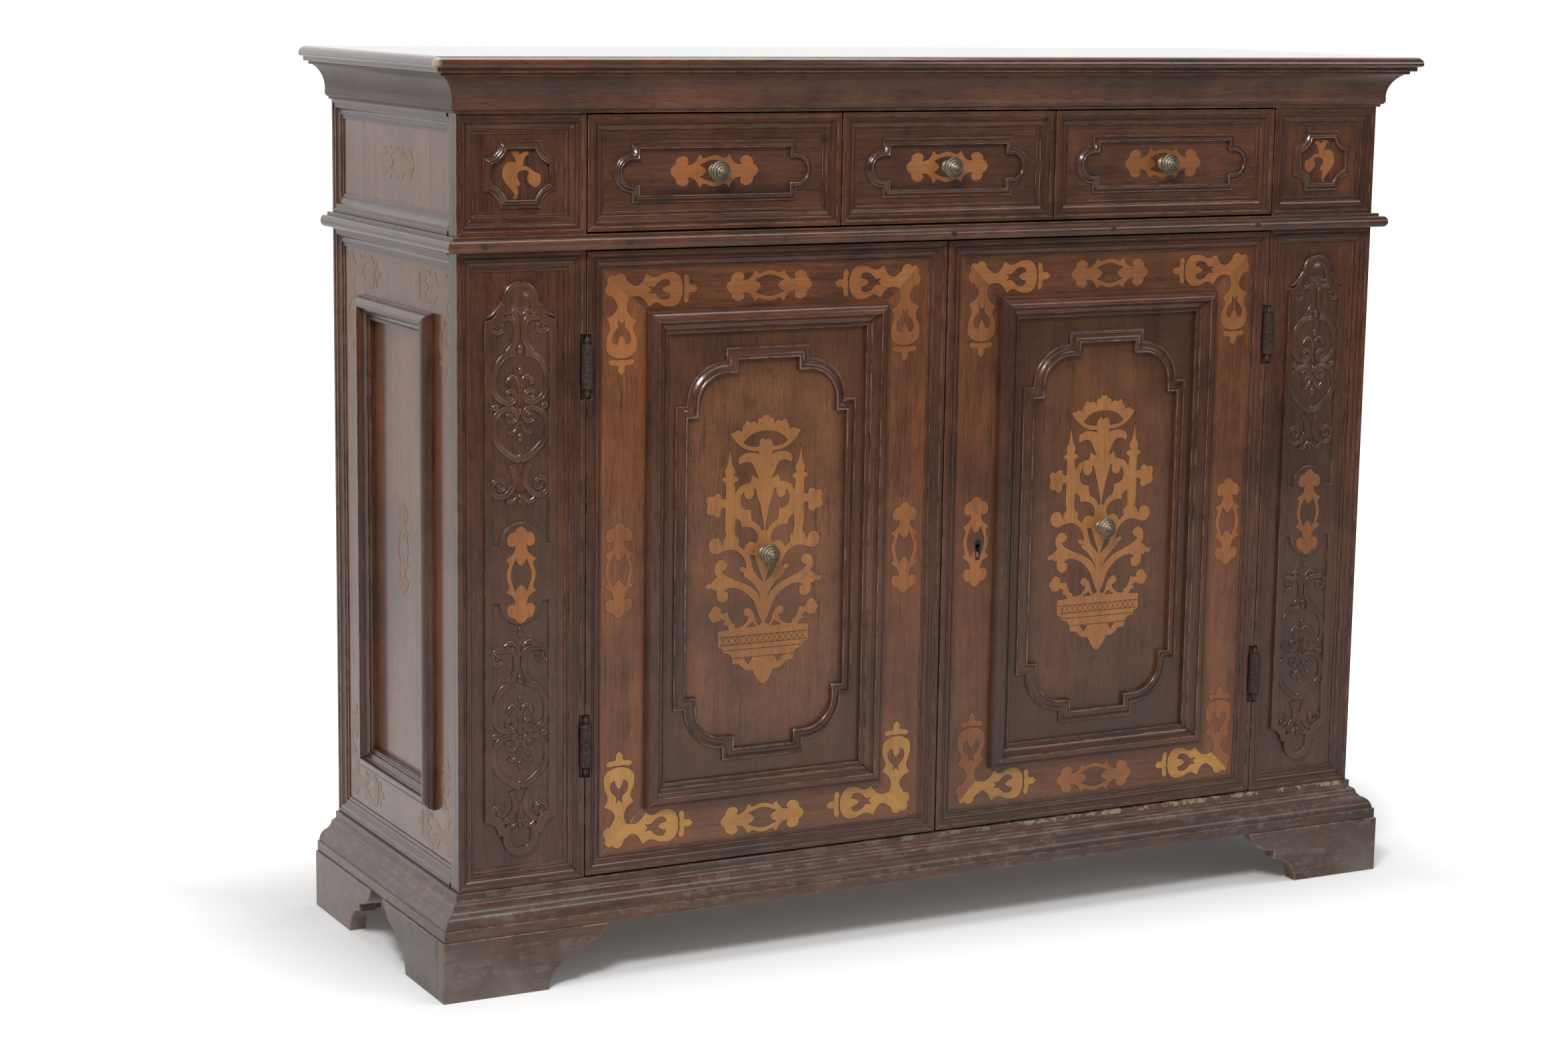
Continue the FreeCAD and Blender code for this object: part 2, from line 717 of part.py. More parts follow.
def inner_boards():
    width = f"2 * inner_x / {BACK_BOARDS}"
    backs = [board(f"back_board_{number}", f"-inner_x + {number} * {width}", "rear_y", "foot_height",
                   width, "back_thickness", CARCASS_HEIGHT) for number in range(BACK_BOARDS)]
    node(gather("back_boards", backs))
    inside_depth = "rear_y - inside_y"
    node(board("bottom_board", "-inner_x", "inside_y + stop_gap", "body_z + bottom_step - bottom_thickness",
               "2 * inner_x", f"{inside_depth} - stop_gap", "bottom_thickness"))
    deck = board("deck_blank", "-inner_x", "inside_y", "waist_z", "2 * inner_x", inside_depth, "waist_height")
    rod_hole = round_bar("deck_rod_hole", "-rod_x", "rod_y", f"waist_z - {OVERCUT}",
                         "rod_radius + rod_hole_clearance", f"waist_height + 2 * {OVERCUT}")
    node(cut("drawer_deck", deck, rod_hole))
    rails = [board(name, "-post_x", "front", z, "2 * post_x", "post_thickness", height)
             for name, z, height in (("sill_rail", "foot_height", "base_height"),
                                     ("waist_rail", "waist_z", "waist_height"),
                                     ("top_rail", "cornice_z", "cornice_height"))]
    node(gather("front_rails", rails))
    shelf_y = "inside_y + shelf_setback"
    shelf_depth = f"rear_y - ({shelf_y})"
    node(board("cupboard_shelf", "-inner_x", shelf_y, "shelf_z", "2 * inner_x", shelf_depth,
               "shelf_thickness"))
    cleats = [board(f"{side}_cleat", x, shelf_y, "shelf_z - cleat_size", "cleat_size", shelf_depth, "cleat_size")
              for side, x in (("left", "-inner_x"), ("right", "inner_x - cleat_size"))]
    node(gather("shelf_cleats", cleats))
    uprights = []
    for side, divider, guide in (
            ("left", "-divider_x - divider_thickness / 2", "-post_x - guide_thickness"),
            ("right", "divider_x - divider_thickness / 2", "post_x")):
        uprights.append(board(f"{side}_divider", divider, "inside_y", "frieze_z", "divider_thickness",
                              inside_depth, "top_z - frieze_z"))
        uprights.append(board(f"{side}_guide", guide, "inside_y", "frieze_z", "guide_thickness",
                              inside_depth, "guide_height"))
    node(gather("drawer_dividers", uprights))


def foot_plank(label, length, start):
    """A bracket plank: toe, hollow, small step and a round up to the base moulding."""
    body = new_body(label)
    ovolo = f"{length} - foot_ovolo"
    rise = "foot_cove + foot_step"
    pad(body, sketch_on(body, "XY_Plane", [
        (start, "0"), (start, "foot_height"), (length, "foot_height", SOFT_ROUND), (ovolo, rise),
        (ovolo, "foot_cove"), (f"{length} - foot_toe + foot_cove", "foot_cove", -QUARTER_ROUND),
        (f"{length} - foot_toe", "0")]), "foot_thickness")
    return body


def feet():
    corner_x = "-half_width - foot_reach"
    corner_y = "front - foot_reach"
    inner_face = "-half_width - foot_reach + foot_thickness"
    block_y = "front - foot_reach + foot_thickness"
    front_plank = place(foot_plank("front_foot_plank", "foot_length", "0"), corner_x, block_y, "0", FACING_FRONT)
    side_plank = place(foot_plank("side_foot_plank", "foot_side_length", "foot_thickness"), corner_x, corner_y,
                       "0", FACING_RIGHT)
    front_block = board("front_foot_block", inner_face, block_y, "0", "foot_block", "foot_block", "foot_height")
    left = node(gather("left_front_foot", [front_plank, side_plank, front_block]))
    node(mirror("right_front_foot", left))
    rear_plank = place(foot_plank("rear_foot_plank", "foot_side_length", "0"), inner_face, "back", "0",
                       FACING_LEFT)
    rear_block = board("rear_foot_block", inner_face, "back - foot_block", "0", "foot_block", "foot_block",
                       "foot_height")
    left = node(gather("left_rear_foot", [rear_plank, rear_block]))
    node(mirror("right_rear_foot", left))


def belts():
    node(belt("cornice_moulding", cornice_section(), "cornice_reach", "cornice_z"))
    node(belt("waist_moulding", waist_section(), "waist_reach", "waist_z"))
    node(belt("base_moulding", base_section(), "base_reach", "foot_height"))


def side_edging(label, up, z):
    """Corner strip at the front, mouldings above, below and behind it, on the outside of the left side."""
    strip = moulding(label + "_strip", strip_section("strip_width"), up, "strip_width")
    place(strip, "carcass_depth / 2", "0", "0", FreeCAD.Rotation(FreeCAD.Vector(0, 0, 1), 90))
    rear = moulding(label + "_rear", frame_section("moulding_width"), up, "moulding_width", "moulding_width",
                    "moulding_width")
    place(rear, "-carcass_depth / 2", "0", "0", FreeCAD.Rotation(FreeCAD.Vector(0, 0, 1), 270))
    length = "carcass_depth - strip_width"
    lower = moulding(label + "_lower", frame_section("moulding_width"), length, "moulding_width",
                     "moulding_width", None)
    place(lower, "-strip_width / 2", f"-({up}) / 2")
    upper = moulding(label + "_upper", frame_section("moulding_width"), length, "moulding_width", None,
                     "moulding_width")
    place(upper, "-strip_width / 2", f"({up}) / 2", "0", FreeCAD.Rotation(FreeCAD.Vector(0, 0, 1), 180))
    return place(gather(label, [strip, rear, lower, upper]), "-half_width", "side_middle", z, FACING_LEFT)


def side_mouldings():
    lower = side_edging("side_body_edging", "body_height", "body_middle")
    upper = side_edging("side_frieze_edging", "frieze_height", "frieze_middle")
    inner = frame("side_bolection", bolection_section("side_panel_recess"), "side_bolection_across",
                  "side_bolection_up", "bolection_width", "bolection_width")
    place(inner, "-half_width", "side_panel_middle", "body_middle", FACING_LEFT)
    left = node(gather("left_side_mouldings", [lower, upper, inner]))
    node(mirror("right_side_mouldings", left))


def pilasters():
    """Frame mouldings and carved panel on the front of a post, out to the face of the side's mouldings."""
    lower = frame("pilaster_frame", frame_section, "pilaster_width", "body_height", "moulding_width",
                  "moulding_width")
    place(lower, "-pilaster_middle", "front", "body_middle", FACING_FRONT)
    upper = frame("frieze_frame", frame_section, "pilaster_width", "frieze_height", "moulding_width",
                  "moulding_width")
    place(upper, "-pilaster_middle", "front", "frieze_middle", FACING_FRONT)
    ring = cartouche("frieze_octagon", octagon, "octagon_width")
    place(ring, "-pilaster_middle", "front", "frieze_middle", FACING_FRONT)
    blank = gather("pilaster_moulding_blank", [lower, upper, ring])
    left = node(cut("left_pilaster_mouldings", blank, post_notches))
    node(mirror("right_pilaster_mouldings", left))
    panel = node(place(tongue_panel(), "-pilaster_middle", "front", "body_middle", FACING_FRONT))
    node(mirror("right_pilaster_panel", panel))


def tongue(inset):
    """Upright panel with hollow corners and a round arch at head and foot."""
    shoulder = "tongue_end - tongue_arch - tongue_step"
    reach = f"sqrt((tongue_corner + {inset})^2 - ({inset})^2)"
    side = f"tongue_half - ({inset})"
    corner = f"tongue_half - {reach}"
    arch = f"tongue_arch - ({inset})"
    foot = f"{shoulder} - ({inset})"
    return four_quarters([
        (arch, "tongue_end - tongue_arch"), (arch, foot), (corner, foot, -QUARTER_ROUND),
        (side, f"{shoulder} - {reach}")], head_bulge=HALF_ROUND)


def tongue_panel():
    """The carved panel: its border, its sunk ground, and the flat tablet across its middle."""
    body = new_body("left_pilaster_panel")
    pad(body, sketch_on(body, "XY_Plane", tongue("0")), "tongue_thickness - tongue_sink")
    pad(body, sketch_on(body, "XY_Plane", tongue("0"), tongue("tongue_border")), "tongue_thickness")
    half = "tongue_half - tongue_border"
    high = "tablet_half_height"
    tablet = [(f"-({half})", f"-{high}"), (f"-({half})", high), ("-tablet_arch", high, HALF_ROUND),
              ("tablet_arch", high), (half, high), (half, f"-{high}"), ("tablet_arch", f"-{high}", HALF_ROUND),
              ("-tablet_arch", f"-{high}")]
    pad(body, sketch_on(body, "XY_Plane", tablet), "tongue_thickness")
    return body


# Hinges


def hinge_half(label, z, on_door):
    """One knuckle with its finial and leaf. The post's knuckle is the lower one and carries the pin."""
    end = "knuckle_length"
    bead = f"{end} + finial_collar"
    half_gap = "hinge_gap / 2"
    finial = [("finial_neck", f"{bead} + finial_bead"), ("finial_neck", bead), ("hinge_radius", end)]
    if on_door:
        bore = "pin_radius + pin_clearance"
        bore_end = "pin_rise + pin_end_gap"
        corners = [(bore, half_gap), (bore, bore_end), ("0", bore_end), ("0", f"{end} + finial_length"),
                   finial[0] + (SOFT_ROUND,), finial[1], finial[2], ("hinge_radius", half_gap)]
    else:
        finial = [(x, f"-({y})") for x, y in reversed(finial)]
        corners = [("0", f"-({end} + finial_length)"), ("0", "pin_rise"), ("pin_radius", "pin_rise"),
                   ("pin_radius", f"-{half_gap}"), ("hinge_radius", f"-{half_gap}"), finial[0],
                   finial[1] + (SOFT_ROUND,), finial[2]]
    knuckle = place(turned(label + "_knuckle", corners), "-pin_x", "pin_y", z)
    z_from = f"{z} + hinge_gap" if on_door else f"{z} - knuckle_length"
    leaf = leaf_box(label + "_leaf", z_from, on_door, "pin_y + leaf_start")
    return fuse(label, knuckle, leaf)


def hinges():
    for owner, on_door in (("post", False), ("door", True)):
        halves = [hinge_half(f"{owner}_{level}_hinge", f"{level}_hinge_z", on_door) for level in ("low", "high")]
        left = node(gather(f"left_{owner}_hinges", halves))
        node(mirror(f"right_{owner}_hinges", left))


# Knobs


def knob(label, x, y, z):
    """Turned knob with a back plate and a shank, standing on a face that looks to the front."""
    crown = "knob_height - knob_cap - knob_crown"
    under = f"{crown} - knob_under"
    body = turned(label, [
        ("0", "-shank_length"), ("0", "knob_height"), ("knob_cap_radius", "knob_height"),
        ("knob_cap_radius", "knob_height - knob_cap", SOFT_ROUND), ("knob_radius", crown, SOFT_ROUND),
        ("knob_neck_radius", under), ("knob_neck_radius", "knob_plate"), ("knob_plate_radius", "knob_plate"),
        ("knob_plate_radius", "0"), ("shank_radius", "0"), ("shank_radius", "-shank_length")])
    return node(place(body, x, y, z, FACING_FRONT))


def shank_hole(label, x, y, z):
    depth = "shank_length + shank_clearance"
    return round_bar(label, x, f"{y} + {depth}", z, "shank_radius + shank_clearance", f"{depth} + {OVERCUT}",
                     FACING_FRONT)


# Doors


def doors():
    blank = frame("door_frame_blank", plain_section("door_thickness"), "door_width", "door_height",
                  "rail_width", "stile_width")
    place(blank, "-door_x", "front", "door_middle", FACING_FRONT)
    left_frame = node(cut("left_door_frame", blank, door_slots))
    keyhole = fuse("keyhole", round_bar("keyhole_round", "keyhole_x", f"door_back + {OVERCUT}", "lock_z",
                                        "keyhole_radius", f"door_thickness + 2 * {OVERCUT}", FACING_FRONT),
                   board("keyhole_slot", "keyhole_x - keyhole_slot_width / 2", f"front - {OVERCUT}",
                         "lock_z - keyhole_slot_drop", "keyhole_slot_width",
                         f"door_thickness + 2 * {OVERCUT}", "keyhole_slot_drop"))
    node(cut("right_door_frame", mirror("right_door_frame_blank", left_frame), keyhole))
    face = "front + panel_recess"
    panel = board("door_panel_blank", "-door_x - panel_across / 2", face, "door_middle - panel_up / 2",
                  "panel_across", "panel_thickness", "panel_up")
    left_panel = node(cut("left_door_panel", panel, shank_hole("door_shank_hole", "-door_x", face, "door_middle")))
    node(mirror("right_door_panel", left_panel))
    edge = frame("door_edge_blank", frame_section, "door_width", "door_height", "door_moulding_width",
                 "door_moulding_width")
    place(edge, "-door_x", "front", "door_middle", FACING_FRONT)
    left_edge = node(cut("left_door_edge_moulding", edge, door_notches))
    node(mirror("right_door_edge_moulding", left_edge))
    inner = frame("door_bolection", bolection_section("panel_recess"), "bolection_across", "bolection_up",
                  "bolection_width", "bolection_width")
    place(inner, "-door_x", "front", "door_middle", FACING_FRONT)
    ring = place(cartouche("door_cartouche", arched, "arched_width"), "-door_x", face, "door_middle",
                 FACING_FRONT)
    left_inner = node(gather("left_door_panel_mouldings", [inner, ring]))
    node(mirror("right_door_panel_mouldings", left_inner))
    for side, x in (("left", "-door_x"), ("right", "door_x")):
        knob(f"{side}_door_knob", x, face, "door_middle")


def lock():
    """Rim lock on the inside of the right door: a case with a bolt that shoots behind the left door."""
    bolt_y = "door_back + bolt_stand"
    bolt_z = "lock_z - bolt_height / 2"
    bolt_x = "lock_x + bolt_end_gap"
    case = board("lock_case_blank", "lock_x", "door_back", "lock_z - lock_height / 2", "lock_length",
                 "lock_depth", "lock_height")
    channel = board("lock_channel", f"lock_x - {OVERCUT}", f"{bolt_y} - bolt_clearance",
                    f"{bolt_z} - bolt_clearance", f"bolt_length + 2 * bolt_end_gap + {OVERCUT}",
                    "bolt_thickness + 2 * bolt_clearance", "bolt_height + 2 * bolt_clearance")
    node(cut("right_door_lock", case, channel))
    node(board("lock_bolt", bolt_x, bolt_y, bolt_z, "bolt_length", "bolt_thickness", "bolt_height"))


def rod_bolt():
    """Upright rod on the inside of the left door, sliding in two keepers up into the drawer deck."""
    keepers = []
    for level, rise in (("low", "keeper_low_rise"), ("high", "keeper_high_rise")):
        block = board(f"{level}_keeper_blank", "-rod_x - keeper_width / 2", "door_back", f"rod_z + {rise}",
                      "keeper_width", "keeper_depth", "keeper_height")
        bore = round_bar(f"{level}_keeper_bore", "-rod_x", "rod_y", f"rod_z + {rise} - {OVERCUT}",
                         "rod_radius + rod_clearance", f"keeper_height + 2 * {OVERCUT}")
        keepers.append(cut(f"{level}_keeper", block, bore))
    node(gather("left_door_keepers", keepers))
    rod = round_bar("rod_blank", "-rod_x", "rod_y", "rod_z", "rod_radius", "rod_length")
    grip = round_bar("rod_grip", "-rod_x", "rod_y + rod_grip_length", "rod_z + rod_grip_rise",
                     "rod_grip_radius", "rod_grip_length", FACING_FRONT)
    node(fuse("left_door_rod", rod, grip))


# Drawers


def drawer(side, width, x, left, right):
    """Front with its mouldings and knob, and a box of two sides, back and bottom."""
    front_blank = board(f"{side}_drawer_front_blank", f"{x} - ({width}) / 2", "front", "drawer_z", width,
                        "drawer_front_thickness", "drawer_height")
    middle = "drawer_z + drawer_height / 2"
    hole = shank_hole(f"{side}_drawer_shank_hole", x, "front", middle)
    node(cut(f"{side}_drawer_front", front_blank, hole))
    edge = frame(f"{side}_drawer_frame", frame_section, width, "drawer_height", "drawer_moulding_width",
                 "drawer_moulding_width")
    ring = cartouche(f"{side}_drawer_cartouche", lobed(width), "lobed_width")
    node(place(gather(f"{side}_drawer_mouldings", [edge, ring]), x, "front", middle, FACING_FRONT))
    box_y = "front + drawer_front_thickness"
    wall = "drawer_side_thickness"
    inside = f"{left} + {wall}"
    inside_width = f"{right} - {wall} - ({inside})"
    walls = [board(f"{side}_drawer_{name}", wall_x, y, "box_z", length, depth, "drawer_box_height")
             for name, wall_x, y, length, depth in (
                 ("left_wall", left, box_y, wall, "drawer_box_depth"),
                 ("right_wall", f"{right} - {wall}", box_y, wall, "drawer_box_depth"),
                 ("back_wall", inside, f"{box_y} + drawer_box_depth - {wall}", inside_width, wall))]
    walls.append(board(f"{side}_drawer_bottom", inside, box_y, "box_z + drawer_bottom_rise", inside_width,
                       f"drawer_box_depth - {wall}", "drawer_bottom_thickness"))
    node(gather(f"{side}_drawer_box", walls))
    knob(f"{side}_drawer_knob", x, "front", middle)


def drawers():
    drawer("left", "drawer_side_width", "-drawer_side_x", "-side_box_left", "-side_box_right")
    drawer("centre", "drawer_centre_width", "0", "-centre_box_edge", "centre_box_edge")
    drawer("right", "drawer_side_width", "drawer_side_x", "side_box_right", "side_box_left")


top_board()
belts()
posts()
pilasters()
sides()
side_mouldings()
inner_boards()
feet()
hinges()
doors()
lock()
rod_bolt()
drawers()
doc.recompute()

faults = [thing.Label for thing in doc.Objects if {"Invalid", "Error"} & set(thing.State)]
for thing in nodes:
    shape = thing.Shape
    if shape.isNull() or not shape.isValid() or not shape.Solids:
        faults.append(thing.Label)
if faults:
    raise RuntimeError("These did not build: " + ", ".join(faults))

os.makedirs("parts", exist_ok=True)
for thing in nodes:
    thing.Shape.exportStep(f"parts/{thing.Label}.step")
    print(thing.Label, len(thing.Shape.Solids), "solids", round(thing.Shape.Volume / 1000, 1), "cm3")
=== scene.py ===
import bmesh
import bpy
import json
import math
import random
from mathutils import Matrix, Vector
from mathutils.bvhtree import BVHTree


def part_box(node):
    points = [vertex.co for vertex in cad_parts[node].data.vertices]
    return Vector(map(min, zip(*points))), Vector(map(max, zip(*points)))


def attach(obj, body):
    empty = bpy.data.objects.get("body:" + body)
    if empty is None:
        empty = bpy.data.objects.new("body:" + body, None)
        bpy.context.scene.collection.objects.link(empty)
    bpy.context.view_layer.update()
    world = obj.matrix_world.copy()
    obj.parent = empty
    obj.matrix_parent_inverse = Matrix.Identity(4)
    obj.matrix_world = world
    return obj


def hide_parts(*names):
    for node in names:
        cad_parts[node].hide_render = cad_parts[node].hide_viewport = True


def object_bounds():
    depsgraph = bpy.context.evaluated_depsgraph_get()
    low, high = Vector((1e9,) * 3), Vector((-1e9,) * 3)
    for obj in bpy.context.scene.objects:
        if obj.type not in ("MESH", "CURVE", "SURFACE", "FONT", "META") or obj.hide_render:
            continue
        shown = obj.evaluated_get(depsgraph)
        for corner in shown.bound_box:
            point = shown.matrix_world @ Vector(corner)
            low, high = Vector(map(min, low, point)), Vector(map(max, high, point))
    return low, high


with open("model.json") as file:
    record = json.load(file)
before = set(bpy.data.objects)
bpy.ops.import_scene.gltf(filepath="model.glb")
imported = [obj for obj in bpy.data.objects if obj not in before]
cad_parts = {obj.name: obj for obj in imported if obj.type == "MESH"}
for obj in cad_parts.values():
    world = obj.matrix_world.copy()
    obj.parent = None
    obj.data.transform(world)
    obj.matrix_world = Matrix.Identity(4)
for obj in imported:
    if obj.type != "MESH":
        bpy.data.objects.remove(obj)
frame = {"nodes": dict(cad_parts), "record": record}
cad_low, cad_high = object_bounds()

# Studio: the credenza stands on a pale floor in front of nothing but white, as in a saleroom picture.
# One soft lamp is up on the left, a weak one fills from the right, a wide one hangs above, and white surrounds
# the rest.

scene = bpy.context.scene
scene.view_settings.view_transform = "Standard"
SENSOR = 36
FOCAL_PIXELS = 4718.8
FRAME_PIXELS = 2352
CAMERA_PLACE = (-2.0019, -3.5619, 1.2056)
CAMERA_SWING = math.radians(-27.767)
CAMERA_TILT = math.radians(90 - 9.851)
CAMERA_ROLL = math.radians(0.843)
lens = bpy.data.cameras.new("camera")
lens.sensor_width = SENSOR
lens.lens = FOCAL_PIXELS * SENSOR / FRAME_PIXELS
camera = bpy.data.objects.new("camera", lens)
camera.matrix_world = (Matrix.Translation(CAMERA_PLACE) @ Matrix.Rotation(CAMERA_SWING, 4, "Z")
                       @ Matrix.Rotation(CAMERA_TILT, 4, "X") @ Matrix.Rotation(CAMERA_ROLL, 4, "Z"))
scene.collection.objects.link(camera)
scene.camera = camera


class Finish:
    """One socket of a finish: arithmetic on it adds Math nodes, and node() adds any other node."""

    def __init__(self, socket):
        self.socket = socket
        self.tree = socket.id_data

    def node(self, kind, settings, sockets, out=0):
        made = self.tree.nodes.new("ShaderNode" + kind)
        for name, setting in settings.items():
            if name == "stops":
                ramp = made.color_ramp
                while len(ramp.elements) < len(setting):
                    ramp.elements.new(0.5)
                for element, (position, colour) in zip(ramp.elements, setting):
                    element.position = position
                    element.color = (*colour, 1)
            else:
                setattr(made, name, setting)
        for key, value in sockets.items():
            if isinstance(value, Finish):
                self.tree.links.new(value.socket, made.inputs[key])
            else:
                made.inputs[key].default_value = value
        return Finish(made.outputs[out])

    def maths(self, operation, first, second):
        return self.node("Math", {"operation": operation}, {0: first, 1: second})

    def __add__(self, other):
        return self.maths("ADD", self, other)

    __radd__ = __add__

    def __sub__(self, other):
        return self.maths("SUBTRACT", self, other)

    def __rsub__(self, other):
        return self.maths("SUBTRACT", other, self)

    def __mul__(self, other):
        return self.maths("MULTIPLY", self, other)

    __rmul__ = __mul__

    def __abs__(self):
        return self.node("Math", {"operation": "ABSOLUTE"}, {0: self})

    def __lt__(self, other):
        return self.maths("LESS_THAN", self, other)

    def __gt__(self, other):
        return self.maths("GREATER_THAN", self, other)


def ramped(value, low, high):
    return value.node("MapRange", {"interpolation_type": "SMOOTHSTEP"},
                      {"Value": value, "From Min": low, "From Max": high})


def part_of(place, axis):
    return place.node("SeparateXYZ", {}, {0: place}, axis)


def rays(place, *kinds):
    """One socket for each kind of ray: it is 1 for a ray of that kind."""
    return (place.node("LightPath", {}, {}, f"Is {kind} Ray") for kind in kinds)


def new_finish(name):
    material = bpy.data.materials.new(name)
    material.use_nodes = True
    return material, Finish(material.node_tree.nodes.new("ShaderNodeTexCoord").outputs["Object"])


def apply_finish(material, steady, varied):
    shader = material.node_tree.nodes["Principled BSDF"]
    for name, value in steady.items():
        shader.inputs[name].default_value = value
    for name, value in varied.items():
        material.node_tree.links.new(value.socket, shader.inputs[name])


FLOOR_HALF = 12
FLOOR_NEAR_EDGE = -3.2
FLOOR_WHITE = 0.96
FLOOR_IN_GLOSS = 0.5
FLOOR_MIRRORED = 0.58
MIRRORED_FROM = (-0.6, 0.6)
FOOTPRINT = (0.68, 0.23)
SHADOW_GLOW = 0.05
SHADOW_REACH = (-0.1, 0.7)
floor_sheet = bmesh.new()
bmesh.ops.create_grid(floor_sheet, x_segments=1, y_segments=1, size=FLOOR_HALF,
                      matrix=Matrix.Translation((0, FLOOR_HALF + FLOOR_NEAR_EDGE, 0)))
floor_mesh = bpy.data.meshes.new("floor")
floor_sheet.to_mesh(floor_mesh)
floor = bpy.data.objects.new("floor", floor_mesh)
scene.collection.objects.link(floor)
floor_paint, floor_place = new_finish("floor_white")
floor_seen, floor_mirrored = rays(floor_place, "Camera", "Glossy")
aside, ahead = (abs(part_of(floor_place, axis)) - reach for axis, reach in zip("XY", FOOTPRINT))
away = aside.node("Math", {"operation": "MAXIMUM"}, {0: aside, 1: ahead})
lift = SHADOW_GLOW + ramped(away, *SHADOW_REACH) * (1 - SHADOW_GLOW)
behind = ramped(part_of(floor_place, "Y"), *MIRRORED_FROM)
floor_glow = floor_seen * lift + floor_mirrored * behind * FLOOR_MIRRORED
floor_tone = FLOOR_WHITE - floor_mirrored * (FLOOR_WHITE - FLOOR_IN_GLOSS)
apply_finish(floor_paint, {"Roughness": 0.9, "Specular IOR Level": 0.1, "Emission Strength": 1},
             {"Base Color": floor_tone, "Emission Color": floor_glow})
floor_mesh.materials.append(floor_paint)

AMBIENT = 0.25
DARK_SIDE = 0.06
BRIGHT_FROM = (-0.5, 0.6)
world = bpy.data.worlds.new("white_room")
scene.world = world
world.use_nodes = True
backdrop = world.node_tree.nodes["Background"]
backdrop.inputs["Strength"].default_value = 1
heading = Finish(world.node_tree.nodes.new("ShaderNodeTexCoord").outputs["Generated"])
seen, mirrored, through = rays(heading, "Camera", "Glossy", "Transmission")
beyond = ramped(part_of(heading, "Y"), *BRIGHT_FROM)
reflected = DARK_SIDE + beyond * (1 - DARK_SIDE)
glow = AMBIENT + (seen + through) * (1 - AMBIENT) + mirrored * (reflected - AMBIENT)
world.node_tree.links.new(glow.socket, backdrop.inputs["Color"])


def softbox(name, place, target, width, height, watts):
    lamp = bpy.data.lights.new(name, "AREA")
    lamp.shape = "RECTANGLE"
    lamp.size = width
    lamp.size_y = height
    lamp.energy = watts
    stand = bpy.data.objects.new(name, lamp)
    turn = (Vector(target) - Vector(place)).to_track_quat("-Z", "Y")
    stand.matrix_world = Matrix.Translation(place) @ turn.to_matrix().to_4x4()
    scene.collection.objects.link(stand)


softbox("key_lamp", place=(-2.1, -2.5, 3.1), target=(0, 0, 0.7), width=0.9, height=0.8, watts=98)
softbox("fill_lamp", place=(2.6, -3.3, 2.0), target=(0, 0, 0.5), width=1.6, height=1.2, watts=16)
softbox("top_lamp", place=(0.2, -0.5, 3.6), target=(0.1, 0, 0), width=2.4, height=2.0, watts=52)

# Carcass: walnut posts, framed sides and rails, nailed and glued, with softwood boards for the back,
# bottom, shelf and drawer runners. Old wax, worn arrises, worm holes, and soiling and painted shade in the
# corners all show.

body_of = {node: body for body, members in frame["record"]["behaviour"]["bodies"].items() for node in members}
chance = random.Random(1650)
SIDES = ("left", "right")
HANDS = (("left", 1), ("right", -1))
MERGE = 1e-6
ALONG_GRAIN = 0.07
FLAT_ANGLE = math.radians(0.6)
ARRIS_ANGLE = math.radians(28)
SHARP_ANGLE = math.radians(42)


def colour_mix(mask, first, second):
    return mask.node("Mix", {"data_type": "RGBA"}, {0: mask, 6: first, 7: second}, 2)


def noise(place, scale, detail=3, roughness=0.55, distortion=0):
    return place.node("TexNoise", {}, {"Vector": place, "Scale": scale, "Detail": detail,
                                       "Roughness": roughness, "Distortion": distortion})


def openness(place, reach):
    """How open a spot is to its surroundings within reach: 1 on a flat face, less in a corner."""
    return place.node("AmbientOcclusion", {"samples": 6, "only_local": True}, {"Distance": reach}, "AO")


def cells(place, per_metre, out):
    return place.node("TexVoronoi", {}, {"Vector": place, "Scale": per_metre}, out)


GRIME_AND_SHADE = (0.012, 0.008, 0.006, 1)
HOLE = (0.006, 0.004, 0.003, 1)
DUST = (0.17, 0.13, 0.11, 1)
RUBBED = (0.24, 0.135, 0.085, 1)
BARE_WOOD = (0.4, 0.29, 0.19, 1)
CLEANED_ACROSS = (0.085, 0.125)
CLEANED_UP = (0.19, 0.26)
BARED_REACH = (0.016, 0.026)
SEAM_HALF = 0.0006
CHIPS_UNDER_EDGE = (0.007, 0.003)
CHIPS_ALONG = (-0.3, 0.3)
CORNER_DIRT_AND_SHADE = 0.016
QUIRK_DIRT_AND_SHADE = 0.003
WORM_CELLS = 120
WORM_HOLE = 0.085
WORM_RARITY = 0.7
PUNCH_CELLS = 480
GRAIN_DEPTH = 0.0006
WAX_ROUGHNESS = 0.12


